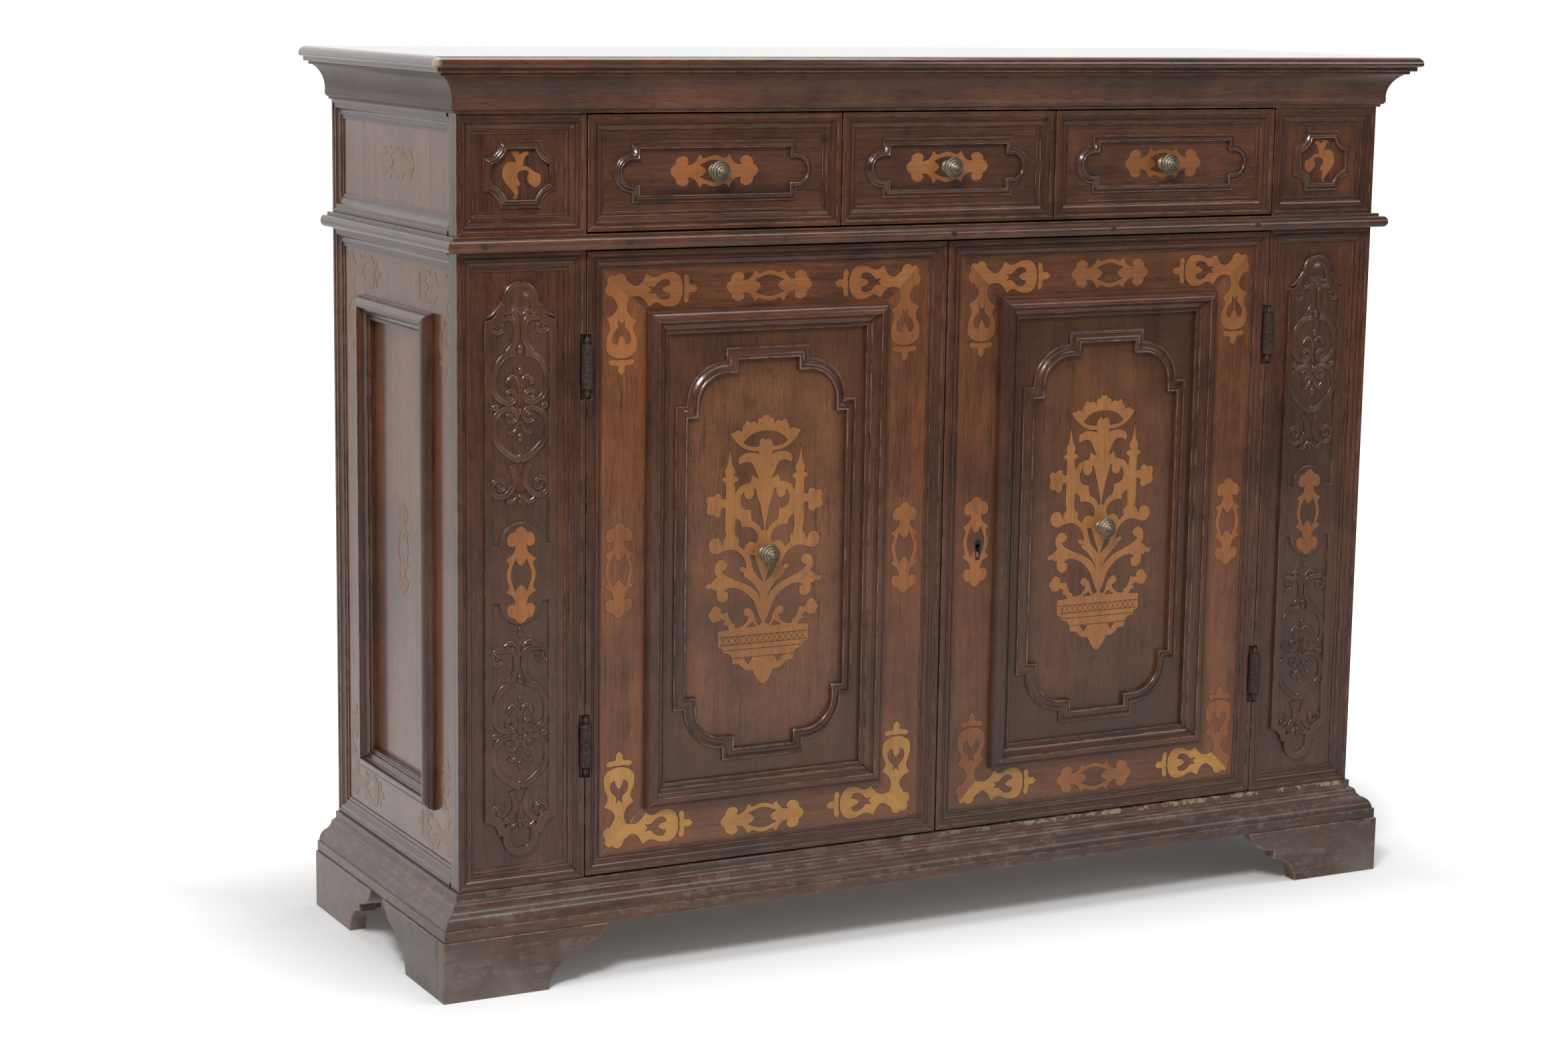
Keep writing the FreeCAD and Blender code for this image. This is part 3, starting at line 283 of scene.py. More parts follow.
def wood(name, deep, body, pale, glow, roughness=0.33, wax=0.7, stippled=False, dirt_and_shade=0.9, wear=1, cleaned=None,
         bared=None, chipped=None):
    """Old waxed wood whose fibres run along the board's own grain attribute.

    cleaned is the middle of a panel that has been cleaned within its cartouche, bared a corner of the top that
    is worn to the wood, and with it come the top's open joints. chipped is the height of an edge with pale
    chips, on a wood scuffed pale.
    """
    material, place = new_finish(name)
    dark = (*deep, 1)
    grain = place.node("Attribute", {"attribute_name": "grain"}, {}, "Vector")
    tone, arris = (place.node("Attribute", {"attribute_name": layer}, {}, "Fac") for layer in ("tone", "arris"))
    stretched = place.node("VectorMath", {"operation": "MULTIPLY"}, {0: place, 1: grain})
    shift = place.node("CombineXYZ", {}, {0: tone * 9, 1: tone * 5, 2: tone * 7})
    board = place.node("VectorMath", {"operation": "ADD"}, {0: stretched, 1: shift})
    figure = noise(board, scale=9, detail=3, roughness=0.5, distortion=1.0)
    streak = noise(board, scale=62, detail=4, roughness=0.6, distortion=0.3)
    fibre = noise(board, scale=360, detail=3, roughness=0.6)
    cloud = noise(place, scale=6, detail=4, roughness=0.6, distortion=0.3)
    speck = noise(place, scale=38, detail=4, roughness=0.65)
    mottle = noise(place, scale=18, detail=5, roughness=0.65, distortion=0.4)
    colour = figure.node("ValToRGB", {"stops": ((0.36, deep), (0.5, body), (0.64, pale))},
                         {0: figure * 0.28 + streak * 0.2 + fibre * 0.27 + mottle * 0.25})
    ember = ramped(noise(board, scale=20), 0.5, 0.7)
    colour = colour_mix(ember * 0.45, colour, (*glow, 1))
    shade = 0.84 + tone * 0.32
    colour = colour.node("HueSaturation", {}, {"Value": shade, "Color": colour})
    pores = ramped(noise(board, scale=900, detail=1), 0.6, 0.72)
    colour = colour_mix(pores * 0.6, colour, dark)
    colour = colour_mix(ramped(cloud, 0.46, 0.68) * 0.45, colour, dark)
    stain = noise(board, scale=130, detail=4, roughness=0.7)
    colour = colour_mix(ramped(stain, 0.58, 0.7) * 0.55 * wear, colour, dark)
    colour = colour_mix(ramped(speck, 0.6, 0.75) * 0.45 * wear, colour, dark)
    across, depth, height = (part_of(place, axis) for axis in "XYZ")
    if cleaned:
        sideways = 1 - ramped(abs(abs(across) - abs(cleaned.x)), *CLEANED_ACROSS)
        upwards = 1 - ramped(abs(height - cleaned.z), *CLEANED_UP)
        colour = colour_mix((1 - sideways * upwards) * 0.6, colour, dark)
    if bared:
        reach = place.node("VectorMath", {"operation": "DISTANCE"}, {0: place, 1: bared}, "Value")
        colour = colour_mix(1 - ramped(reach + speck * 0.03, *BARED_REACH), colour, BARE_WOOD)
        wander = depth + noise(place, scale=5, detail=2) * 0.012
        for seam in TOP_SEAMS:
            colour = colour_mix((abs(wander - seam) < SEAM_HALF) * 0.8, colour, GRIME_AND_SHADE)
    colour = colour_mix((1 - ramped(height, 0.1, 0.8)) * 0.2, colour, dark)
    low = (1 - ramped(height, 0.0, 0.6)) * 0.12 + (1 - ramped(height, 0.0, 0.09)) * 0.5
    colour = colour_mix(low * ramped(cloud, 0.3, 0.7) * wear, colour, DUST)
    if chipped:
        patchy = noise(place, scale=48, detail=5, roughness=0.75)
        scuff = ramped(patchy, 0.47, 0.58) * ramped(noise(board, scale=110), 0.42, 0.6)
        colour = colour_mix(scuff * 0.5, colour, DUST)
        edge = ramped(height, *(chipped - under for under in CHIPS_UNDER_EDGE)) * ramped(across, *CHIPS_ALONG)
        chips = edge * ramped(noise(place, scale=55, detail=4, roughness=0.7), 0.5, 0.57)
        colour = colour_mix(chips * 0.8, colour, BARE_WOOD)
    rubbing = arris * ramped(noise(place, scale=46), 0.38, 0.62)
    colour = colour_mix(rubbing * 0.7 * wear, colour, RUBBED)
    # Soiling and painted shade: the colour darkens where the board's own shape closes round a spot, in corners
    # and in the quirks of mouldings, as shade falls there.
    open_corner = ramped(openness(place, CORNER_DIRT_AND_SHADE), 0.32, 0.92)
    grime_and_shade = 1 - open_corner * ramped(openness(place, QUIRK_DIRT_AND_SHADE), 0.45, 0.92)
    colour = colour_mix(grime_and_shade * dirt_and_shade, colour, GRIME_AND_SHADE)
    near_worm = cells(place, WORM_CELLS, "Distance") < WORM_HOLE
    hole = near_worm * (cells(place, WORM_CELLS, "Color") > WORM_RARITY)
    colour = colour_mix(hole, colour, HOLE)
    relief = streak * 0.4 + fibre * 0.35 - pores * 0.5 - hole * 2 + speck * 0.5
    if stippled:
        ground = depth > STIPPLE_FROM
        punches = cells(place, PUNCH_CELLS, "Distance")
        relief = relief + ground * ramped(punches, 0.0, 0.5) * 3
        colour = colour_mix(ground * (1 - ramped(punches, 0.1, 0.5)) * 0.4, colour, GRIME_AND_SHADE)
    normal = relief.node("Bump", {}, {"Strength": 0.3, "Distance": GRAIN_DEPTH, "Height": relief})
    gloss = roughness + cloud * 0.16 + grime_and_shade * 0.2 + rubbing * 0.08 - 0.08
    apply_finish(material, {"Coat Weight": wax, "Coat Roughness": WAX_ROUGHNESS, "IOR": 1.5},
                 {"Base Color": colour, "Roughness": gloss, "Normal": normal})
    return material


def axis_of(size):
    """Fibres run along a board's longest side."""
    longest = max(range(3), key=lambda axis: size[axis])
    return [ALONG_GRAIN if axis == longest else 1 for axis in range(3)]


def finished(name, bm, body, materials, replaced=()):
    """Turns a finished bmesh into a piece that rides on its body."""
    for face in bm.faces:
        face.smooth = True
    mesh = bpy.data.meshes.new(name)
    bm.to_mesh(mesh)
    bm.free()
    for material in materials:
        mesh.materials.append(material)
    mesh.set_sharp_from_angle(angle=SHARP_ANGLE)
    piece = bpy.data.objects.new(name, mesh)
    scene.collection.objects.link(piece)
    weighted = piece.modifiers.new("flat_faces", "WEIGHTED_NORMAL")
    weighted.keep_sharp = True
    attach(piece, body)
    if replaced:
        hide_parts(*replaced)
    return piece


def board_layers(bm):
    """A bmesh's layers for the run of the fibres, the tone of the board and its rubbed arrises."""
    layers = bm.faces.layers
    return layers.float_vector.new("grain"), layers.float.new("tone"), layers.float.new("arris")


def worn(node, material, rounding=0.0005):
    """A node's boards with their arrises rubbed round, each with its own grain direction and tone."""
    bm = bmesh.new()
    bm.from_mesh(frame["nodes"][node].data)
    grain, tone, arris = board_layers(bm)
    boards = []
    board = []
    open_edges = set()
    for face in bm.faces:
        board.append(face)
        corners = [tuple(round(c, 6) for c in vert.co) for vert in face.verts]
        for edge in zip(corners, corners[1:] + corners[:1]):
            if edge[::-1] in open_edges:
                open_edges.remove(edge[::-1])
            else:
                open_edges.add(edge)
        if not open_edges:
            boards.append(board)
            board = []
    boards.append(board)
    corners_of = []
    for board in filter(None, boards):
        verts = {vert for face in board for vert in face.verts}
        size = [max(v.co[axis] for v in verts) - min(v.co[axis] for v in verts) for axis in range(3)]
        board_grain = axis_of(size)
        board_tone = chance.random()
        for face in board:
            face[grain] = board_grain
            face[tone] = board_tone
        corners_of.append(list(verts))
    for verts in corners_of:
        bmesh.ops.remove_doubles(bm, verts=verts, dist=MERGE)
    bmesh.ops.dissolve_limit(bm, angle_limit=FLAT_ANGLE, verts=bm.verts, edges=bm.edges)
    sharp = [edge for edge in bm.edges if edge.is_manifold and edge.calc_face_angle(0) > ARRIS_ANGLE]
    rounded = bmesh.ops.bevel(bm, geom=sharp, offset=rounding, offset_type="OFFSET", segments=2, profile=0.5,
                              affect="EDGES", clamp_overlap=True, material=-1)
    for face in rounded["faces"]:
        face[arris] = 1
    return finished(node + "_worn", bm, body_of[node], [material], [node])


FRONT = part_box("left_front_post")[0].y
CARVED_DEPTH = 0.003
STIPPLE_FROM = FRONT - 0.0026
DARK = ((0.024, 0.009, 0.0055), (0.086, 0.033, 0.018), (0.14, 0.056, 0.029), (0.16, 0.05, 0.018))
dark_walnut = wood("dark_walnut", *DARK, roughness=0.26, wax=0.5)
cornice_walnut = wood("cornice_walnut", *DARK, roughness=0.42, wax=0.15)
stained_walnut = wood("stained_walnut", (0.02, 0.0085, 0.006), (0.082, 0.034, 0.02), (0.15, 0.066, 0.037),
                      (0.15, 0.05, 0.02), roughness=0.38, wax=0.4, wear=1.6,
                      chipped=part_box("base_moulding")[1].z)
warm_walnut = wood("warm_walnut", (0.045, 0.0145, 0.006), (0.142, 0.047, 0.016), (0.225, 0.08, 0.025),
                   (0.26, 0.088, 0.024))
carved_walnut = wood("carved_walnut", (0.03, 0.012, 0.007), (0.088, 0.036, 0.019), (0.13, 0.055, 0.03),
                     (0.13, 0.046, 0.018), roughness=0.27, stippled=True, dirt_and_shade=0.4)
softwood = wood("softwood", (0.16, 0.09, 0.045), (0.27, 0.16, 0.085), (0.36, 0.23, 0.13), (0.34, 0.2, 0.1),
                roughness=0.6, wax=0.05)
for side in SIDES:
    worn(side + "_front_post", dark_walnut)
    worn(side + "_side_frame", warm_walnut, rounding=0.0006)
    worn(side + "_side_panel", warm_walnut)
    worn(side + "_side_mouldings", dark_walnut)
RETURN_SIZE = (0.0068, 0.0034, 0.0105)
RETURN_Y = -0.1596
BODY_EDGES = (0.124, 0.887)
FRIEZE_EDGES = (0.905, 1.046)
RETURN_TONE = 0.5
for side, sign in HANDS:
    returns = bmesh.new()
    face_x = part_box(side + "_side_frame")[0 if side == "left" else 1].x
    for edge, inward in zip(BODY_EDGES + FRIEZE_EDGES, (1, -1, 1, -1)):
        middle = Vector((face_x - sign * RETURN_SIZE[0] / 2, RETURN_Y, edge + inward * RETURN_SIZE[2] / 2))
        seat = Matrix.Translation(middle) @ Matrix.Diagonal((*RETURN_SIZE, 1))
        bmesh.ops.create_cube(returns, size=1, matrix=seat)
    grain, tone, _ = board_layers(returns)
    for face in returns.faces:
        face[grain] = (1, ALONG_GRAIN, 1)
        face[tone] = RETURN_TONE
    finished(side + "_side_returns", returns, "carcass", [dark_walnut])
worn("front_rails", dark_walnut)
for node in ("back_boards", "bottom_board", "drawer_deck", "cupboard_shelf", "shelf_cleats", "drawer_dividers"):
    worn(node, softwood, rounding=0.0012)

# Pilasters: each post carries mitred frame mouldings and a shaped panel, sunk by chisel round low-relief
# scrollwork with a punched ground. The tablet between the carvings is left flat and inlaid.

MM = 0.001
UPRIGHT = (1, 1, ALONG_GRAIN)
LEVEL = (ALONG_GRAIN, 1, 1)
RING_LEAST = 0.04
RING_LEAST_INSET = 0.02
RING_WIDTH = 15
RING_PROFILE = [
    (0, 0), (0, 2.2), (0.5, 2.7), (1.7, 2.7), (2.1, 2.1), (3.2, 2.3), (4.7, 3.1), (6.2, 4.5), (7.7, 5.6),
    (9.4, 6.2), (11, 6.4), (11.4, 5.7), (12, 5.7), (12.4, 6.5), (13.4, 6.8), (14.4, 6.5), (15, 5.7),
    (15, 0)]
RUBBED_ROWS = (2, 13, 14)
RING_TONE = 0.45
OCTAGON_WIDTH = 10
OCTAGON_CORNER = 20


def arc(centre, radius, start, end, steps=12):
    turns = [math.radians(start + (end - start) * step / steps) for step in range(steps + 1)]
    return [(centre[0] + radius * math.cos(turn), centre[1] + radius * math.sin(turn)) for turn in turns]


def hollow_cornered(across, up, inset):
    """Upper right quarter, from head to side, of a rectangle with hollow corners."""
    lean = math.degrees(math.asin(inset / (OCTAGON_CORNER + inset)))
    return arc((across, up), OCTAGON_CORNER + inset, 180 + lean, 270 - lean)


def cartouche(piece, quarter, width):
    """Takes the plain ring off a piece and works its moulding, fillet, ogee and lip, round the same outline."""
    bm = bmesh.new()
    bm.from_mesh(piece.data)
    grain = bm.faces.layers.float_vector["grain"]
    tone, arris = (bm.faces.layers.float[layer] for layer in ("tone", "arris"))
    loose = set(bm.verts)
    while loose:
        board = [loose.pop()]
        for vert in board:
            joined = {edge.other_vert(vert) for edge in vert.link_edges} & loose
            loose -= joined
            board += joined
        low, high = (Vector([limit(vert.co[axis] for vert in board) for axis in range(3)])
                     for limit in (min, max))
        if min(high.x - low.x, high.z - low.z) > RING_LEAST:
            break
    bmesh.ops.delete(bm, geom=board, context="VERTS")
    middle = (low + high) / 2
    half = (high - low) / 2 / MM
    scale = width / RING_WIDTH
    rows = []
    for inset, height in RING_PROFILE:
        spots = quarter(half.x, half.z, max(inset * scale, RING_LEAST_INSET))
        spots += [(across, -up) for across, up in reversed(spots) if up > MERGE]
        spots += [(-across, up) for across, up in reversed(spots)]
        rise = height * (0.5 + 0.5 * scale)
        rows.append([bm.verts.new((middle.x + across * MM, high.y - rise * MM,
                                   middle.z + up * MM)) for across, up in spots])
    made = []
    for number, (outer, inner) in enumerate(zip(rows, rows[1:] + rows[:1])):
        for corners in zip(outer, outer[1:] + outer[:1], inner[1:] + inner[:1], inner):
            face = bm.faces.new(corners)
            run = corners[1].co - corners[0].co
            face.smooth = True
            face[grain] = LEVEL if abs(run.x) > abs(run.z) else UPRIGHT
            face[tone] = RING_TONE
            face[arris] = 1 if number in RUBBED_ROWS else 0
            made.append(face)
    bmesh.ops.recalc_face_normals(bm, faces=made)
    bm.to_mesh(piece.data)
    bm.free()
    piece.data.set_sharp_from_angle(angle=SHARP_ANGLE)


for side in SIDES:
    mouldings = worn(side + "_pilaster_mouldings", dark_walnut)
    cartouche(mouldings, hollow_cornered, OCTAGON_WIDTH)
    worn(side + "_pilaster_panel", carved_walnut)


def drawn(lines, closed, **settings):
    """Mesh of a curve through lines of knots: a knot is its place, whether it is a corner, and its radius."""
    curve = bpy.data.curves.new("line", "CURVE")
    for name, setting in settings.items():
        setattr(curve, name, setting)
    for line in lines:
        spline = curve.splines.new("BEZIER")
        spline.bezier_points.add(len(line) - 1)
        spline.use_cyclic_u = closed
        for knot, (place, corner, radius) in zip(spline.bezier_points, line):
            knot.handle_left_type = knot.handle_right_type = "VECTOR" if corner else "AUTO"
            knot.co = Vector(place) * MM
            knot.radius = radius
    holder = bpy.data.objects.new("line", curve)
    mesh = bpy.data.meshes.new_from_object(holder)
    bpy.data.objects.remove(holder)
    bpy.data.curves.remove(curve)
    return mesh


def added(bm, mesh):
    """Puts a mesh into a bmesh and gives its faces there; the mesh goes."""
    start = len(bm.faces)
    bm.from_mesh(mesh)
    bpy.data.meshes.remove(mesh)
    bm.faces.ensure_lookup_table()
    return bm.faces[start:]


def facing_front(x, y, z):
    return Matrix(((1, 0, 0, x), (0, 0, -1, y), (0, 1, 0, z), (0, 0, 0, 1)))


def volute(centre, angle, reach, turns, eye=1.4, steps=14):
    """Points of a scroll end winding in to its eye; negative turns wind clockwise."""
    points = []
    for step in range(steps + 1):
        part = step / steps
        turn = math.radians(angle + 360 * turns * part)
        radius = reach + (eye - reach) * part ** 0.8
        points.append((centre[0] + radius * math.cos(turn), centre[1] + radius * math.sin(turn)))
    return points


UPPER_SCROLL = [(15.4, 768.2), (8.8, 776.5), (4.8, 788.7), (5.4, 800.3), (11, 808.5)] + volute(
    (27.2, 798.5), 122, 11.5, -1.45)
SHIELD_SCROLL = [(6, 767), (16, 765.5), (25, 759), (32, 746.4), (34.2, 732.3), (30.6, 718.2)] + volute(
    (12.8, 717.4), -52, 9.5, -1.4)
HEART_SCROLL = [(0.6, 640.5), (8.5, 644), (22.6, 654.5), (32, 667), (34.8, 681), (30, 695)] + volute(
    (12.4, 692.6), 62, 10.5, 1.4)
LOWER_SCROLL = [(11.5, 636), (6.9, 624.6), (7.2, 612.5)] + volute((25.6, 610.5), 196, 15, 1.6)
LEAVES = [
    [(1.5, 800), (3, 809), (8, 815.5), (14, 816.5), (19, 812.5)],
    [(1.2, 726), (3, 736), (8.5, 739.5), (13.6, 737), (16, 731)],
    [(1.2, 688), (5, 677), (11, 672.5), (15, 676.5)],
    [(1.2, 606), (5, 595.5), (11.5, 590.5), (18, 594)],
    [(0.6, 622), (1.2, 612), (2.5, 604)],
    [(0.5, 727), (0.6, 718), (0.5, 706)],
]
EAR = [(22, 827), (28.5, 819), (36, 812.5), (43, 810)]
HOOD = [(20, 823), (19, 834), (12.5, 845), (0, 849)]
HOOD_RIDGE = [(13.5, 823), (12.8, 831), (8.2, 838.5), (0, 841)]
BUDS = [(0, 771.5, 4.2, 6.5), (0, 746.4, 3.4, 5.2), (0, 667, 4, 6), (0, 643.5, 4.6, 5), (0, 594, 3.2, 6.5),
        (31.5, 704, 6, 4.6), (0, 698, 3, 5)]
HOODED_BUDS = [(0, 827, 14, 15), (0, 818, 4.4, 8), (8.5, 815, 3.4, 6)]
RIBBON = 2.9
LEAF_STROKE = (2.2, 3.9, -0.4)
RIBBON_STROKE = (4.2, 2.6, -1.5)
RIDGE_STROKE = (1.5, 1.3, 0.8)
EAR_STROKE = (4.2, 1.2, 0)
HOOD_STROKE = (4.2, 4.2, 0)
HOOD_RIDGE_STROKE = (1.5, 1.5, 1)
BUD_RISE = 2.8
CARVED_TONE = 0.55
RELIEF = Matrix.Diagonal((1, 1, 0.85, 1))
LOWER_PANEL_DROP = -395
CROWN_BUD = (0, 829, 3.6, 7)


def middle_of(node):
    low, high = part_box(node)
    return (low + high) / 2


PILASTER_X = middle_of("left_pilaster_panel").x
TABLET_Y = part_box("left_pilaster_panel")[0].y
GROUND_Y = TABLET_Y + CARVED_DEPTH


def beside(line, gap):
    """The line moved sideways by gap, less and less towards its end: one ridge of a grooved ribbon."""
    moved = []
    for number, (across, up) in enumerate(line):
        before = line[max(number - 1, 0)]
        after = line[min(number + 1, len(line) - 1)]
        along = Vector((after[0] - before[0], after[1] - before[1])).normalized()
        shift = gap * (1 - 0.75 * number / len(line))
        moved.append((across - along.y * shift, up + along.x * shift))
    return moved


def carved(name, place, drop, hooded):
    """Scrolls, leaves and buds left standing on the sunk ground; the left half repeats the right.

    A stroke gives the radius at both ends of a line and the height of its middle over the ground.
    """
    lines = [(line, LEAF_STROKE) for line in LEAVES]
    for line in (UPPER_SCROLL, SHIELD_SCROLL, HEART_SCROLL, LOWER_SCROLL):
        lines.append((line, RIBBON_STROKE))
        lines += [(beside(line, sense * RIBBON), RIDGE_STROKE) for sense in (1, -1)]
    if hooded:
        lines += [(EAR, EAR_STROKE), (HOOD, HOOD_STROKE), (HOOD_RIDGE, HOOD_RIDGE_STROKE)]
    strokes = []
    for line, (first, last, rise) in lines:
        radii = [first + (last - first) * number / (len(line) - 1) for number in range(len(line))]
        for sense in (1, -1):
            strokes.append([((sense * across, up + drop, rise), False, radius)
                            for (across, up), radius in zip(line, radii)])
    relief = drawn(strokes, False, dimensions="3D", bevel_depth=MM, bevel_resolution=3, resolution_u=3,
                   use_fill_caps=True)
    relief.transform(RELIEF)
    bm = bmesh.new()
    added(bm, relief)
    buds = BUDS + (HOODED_BUDS if hooded else [CROWN_BUD])
    for across, up, half_width, half_height in buds:
        for sense in ((1, -1) if across else (1,)):
            seat = Matrix.Translation(Vector((sense * across, up + drop, 0)) * MM)
            size = (Matrix.Diagonal((half_width, half_height, BUD_RISE)) * MM).to_4x4()
            bmesh.ops.create_uvsphere(bm, u_segments=14, v_segments=10, radius=1, matrix=seat @ size)
    bmesh.ops.recalc_face_normals(bm, faces=bm.faces)
    bmesh.ops.transform(bm, matrix=place, verts=bm.verts)
    grain, tone, _ = board_layers(bm)
    for face in bm.faces:
        face[grain] = UPRIGHT
        face[tone] = CARVED_TONE
    finished(name, bm, "carcass", [carved_walnut])


for side, sign in HANDS:
    place = facing_front(sign * PILASTER_X, GROUND_Y, 0)
    carved(side + "_upper_carving", place, 0, True)
    carved(side + "_lower_carving", place, LOWER_PANEL_DROP, False)

VENEER = 0.0003
FLATTENED = Matrix.Diagonal((1, 1, 0.5, 1))
SAW_LINE = 0.00048
ORANGE, YELLOW, GOLDEN, FADED, DARK_LINE_AND_SHADE = range(5)
fruitwood = wood("fruitwood", (0.18, 0.06, 0.017), (0.285, 0.098, 0.026), (0.37, 0.145, 0.042),
                 (0.34, 0.14, 0.036), roughness=0.4, wax=0.35)
yellow_wood = wood("yellow_wood", (0.29, 0.125, 0.027), (0.45, 0.215, 0.05), (0.56, 0.29, 0.08),
                   (0.5, 0.26, 0.06), roughness=0.42, wax=0.35)
golden_wood = wood("golden_wood", (0.21, 0.08, 0.022), (0.34, 0.135, 0.037), (0.44, 0.19, 0.055),
                   (0.4, 0.17, 0.045), roughness=0.4, wax=0.4)
faded_wood = wood("faded_wood", (0.15, 0.07, 0.03), (0.21, 0.1, 0.04), (0.26, 0.13, 0.055), (0.26, 0.11, 0.035),
                  roughness=0.4, wax=0.4)
# Dark line wood: the saw and engraved lines of the veneers, and also the painted shadow round the keyhole.
glue_line_and_shade = wood("glue_line_and_shade", (0.012, 0.008, 0.006), (0.02, 0.012, 0.008), (0.03, 0.018, 0.012),
                 (0.02, 0.012, 0.008), roughness=0.6, wax=0.1)


def outline(loops, line=None):
    """A motif sawn from veneer, or a rod of the given radius that follows its loops."""
    knots = [[((across, up, 0), bool(corner), 1) for across, up, *corner in loop] for loop in loops]
    if line is None:
        made = {"fill_mode": "BOTH", "extrude": VENEER}
    else:
        made = {"fill_mode": "NONE", "bevel_depth": line, "bevel_resolution": 1}
    return drawn(knots, True, dimensions="2D", resolution_u=5, **made)


def inlaid(name, body, motifs):
    """Sets motifs into a face as one piece: each is its loops, its place, its fibres and its wood."""
    bm = bmesh.new()
    grain, tone, _ = board_layers(bm)
    for loops, place, fibres, veneer in motifs:
        motif_tone = chance.random()
        for line in ((None,) if veneer in (FADED, DARK_LINE_AND_SHADE) else (None, SAW_LINE)):
            mesh = outline(loops, line)
            mesh.transform(place @ FLATTENED if line else place)
            for face in added(bm, mesh):
                face.material_index = DARK_LINE_AND_SHADE if line else veneer
                face[grain] = fibres
                face[tone] = motif_tone
    bmesh.ops.remove_doubles(bm, verts=bm.verts, dist=MERGE)
    bmesh.ops.recalc_face_normals(bm, faces=bm.faces)
    finished(name, bm, body, [fruitwood, yellow_wood, golden_wood, faded_wood, glue_line_and_shade])


PROBE = 1.5
FRAME_ROWS = ((9.2, 1.3), (12.8, 0.9), (20.2, 1.1))
BOLECTION_ROWS = ((3.2, 0.9), (16.8, 0.9), (26, 1.3))
REED_TONE = 0.4


def surface_of(node):
    """A node's faces, to find where a straight line meets them."""
    mesh = frame["nodes"][node].data
    return BVHTree.FromPolygons([vert.co for vert in mesh.vertices], [face.vertices for face in mesh.polygons])


def reeds(node, facing, frames):
    """Fine beads along frames of mouldings: a frame is two corners and its rows of inset and radius."""
    plane = facing(0, 0, 0)
    back = plane.inverted()
    surface = surface_of(node)
    bm = bmesh.new()
    grain, tone, _ = board_layers(bm)
    for low, high, rows in frames:
        for inset, radius in rows:
            left, right = low[0] + inset, high[0] - inset
            foot, head = low[1] + inset, high[1] - inset
            over = plane @ Vector((left * MM, (foot + head) / 2 * MM, PROBE))
            hit = surface.ray_cast(over, -plane.col[2].to_3d())[0]
            corners = [(left, foot, 1), (right, foot, 1), (right, head, 1), (left, head, 1)]
            rod = outline([corners], radius * MM)
            rod.transform(plane @ Matrix.Translation((0, 0, (back @ hit).z)))
            for face in added(bm, rod):
                up = (back @ face.calc_center_median()).y / MM
                upright = foot + 2 * radius < up < head - 2 * radius
                face[grain] = UPRIGHT if upright else (ALONG_GRAIN, ALONG_GRAIN, 1)
                face[tone] = REED_TONE
    bmesh.ops.recalc_face_normals(bm, faces=bm.faces)
    finished(node + "_reeds", bm, body_of[node], [dark_walnut])


PILASTER_HALF = 81.5
for side, sign in HANDS:
    middle = sign * PILASTER_X / MM
    reeds(side + "_pilaster_mouldings", facing_front,
          [((middle - PILASTER_HALF, foot / MM), (middle + PILASTER_HALF, head / MM), FRAME_ROWS)
           for foot, head in (BODY_EDGES, FRIEZE_EDGES)])


def both_halves(half):
    """Closes a right half, which starts and ends on the middle line, with its mirror image."""
    return half + [(-across, *rest) for across, *rest in reversed(half[1:-1])]


def below(line):
    """The mirror image of a line under the level, run backwards."""
    return [(across, -up, *corner) for across, up, *corner in reversed(line)]


def four_quarters(quarter):
    """A right half from its upper quarter, which runs from the middle to the tip, and then both halves."""
    return both_halves(quarter + below(quarter[:-1]))


TREFOIL_RING = [
    four_quarters([
        (0, 18.6), (6, 17.7), (14.6, 15.5), (19.6, 19.8, 1), (24, 12.5), (28.7, 8.6), (36.5, 7.4, 1),
        (34.5, 10.5), (35.5, 15), (40.5, 17.8), (46, 17), (51, 13), (52, 8, 1), (55.3, 5.7), (58.5, 0)]),
    four_quarters([(0, 13), (8, 11.8), (14.6, 9.3), (20, 7.2, 1), (15, 4.5), (11, 0, 1)]),
]
COMMA_LEAF = [[
    (2.8, 26.2, 1), (0, 30), (-3.8, 30.8), (-8, 29.7), (-6.4, 27), (-3.8, 22.3), (-2.6, 17, 1),
    (-7.2, 18.2), (-12.6, 17.3), (-17.5, 12.3), (-19.2, 3.9), (-16.4, -3.8), (-11.8, -10), (-6.4, -16.1),
    (-3.7, -21.5), (-6.9, -24.1, 1), (-2.6, -25), (0.3, -20), (0.3, -15.3), (-0.7, -10, 1), (2.8, -8.7),
    (3.3, -6.1), (1, -3), (-0.7, 2.3), (0.5, 5.4), (5.9, 8.2), (12, 7.7), (14.8, 4.7, 1), (12.3, 0.8),
    (13.9, -6.1), (17.4, -9.2), (22, -11.5), (27.4, -7.7), (29, -3), (27.9, 3.1), (22.8, 5.7, 1),
    (19.7, 7.3), (15.1, 11.1), (10.5, 12.8), (6.7, 13.1, 1), (7.7, 19.3), (10.5, 24.7), (13.9, 27.4),
    (12, 30), (8.2, 29.6), (4.3, 27)]]
COMMA_SHIFT = Matrix.Translation((-0.0024, -0.0039, 0))
QUARTER_TURN = Matrix.Rotation(math.radians(90), 4, "Z")
OTHER_HAND = Matrix.Scale(-1, 4, (1, 0, 0))
TABLET_Z = 0.5035
FRIEZE_Z = 0.9755
for side, sign in HANDS:
    hand = Matrix() if sign == 1 else OTHER_HAND
    inlaid(side + "_pilaster_inlays", "carcass", [
        (TREFOIL_RING, facing_front(sign * PILASTER_X, TABLET_Y, TABLET_Z) @ QUARTER_TURN, UPRIGHT, ORANGE),
        (COMMA_LEAF, facing_front(sign * PILASTER_X, FRONT, FRIEZE_Z) @ hand @ COMMA_SHIFT, UPRIGHT, ORANGE)])

# Side inlays: the fruitwood motif of the drawers stands in the middle of the frieze and of the sunk panel, and
# a leafy corner piece, mitred like the frame, fills each corner of the frame round the panel.

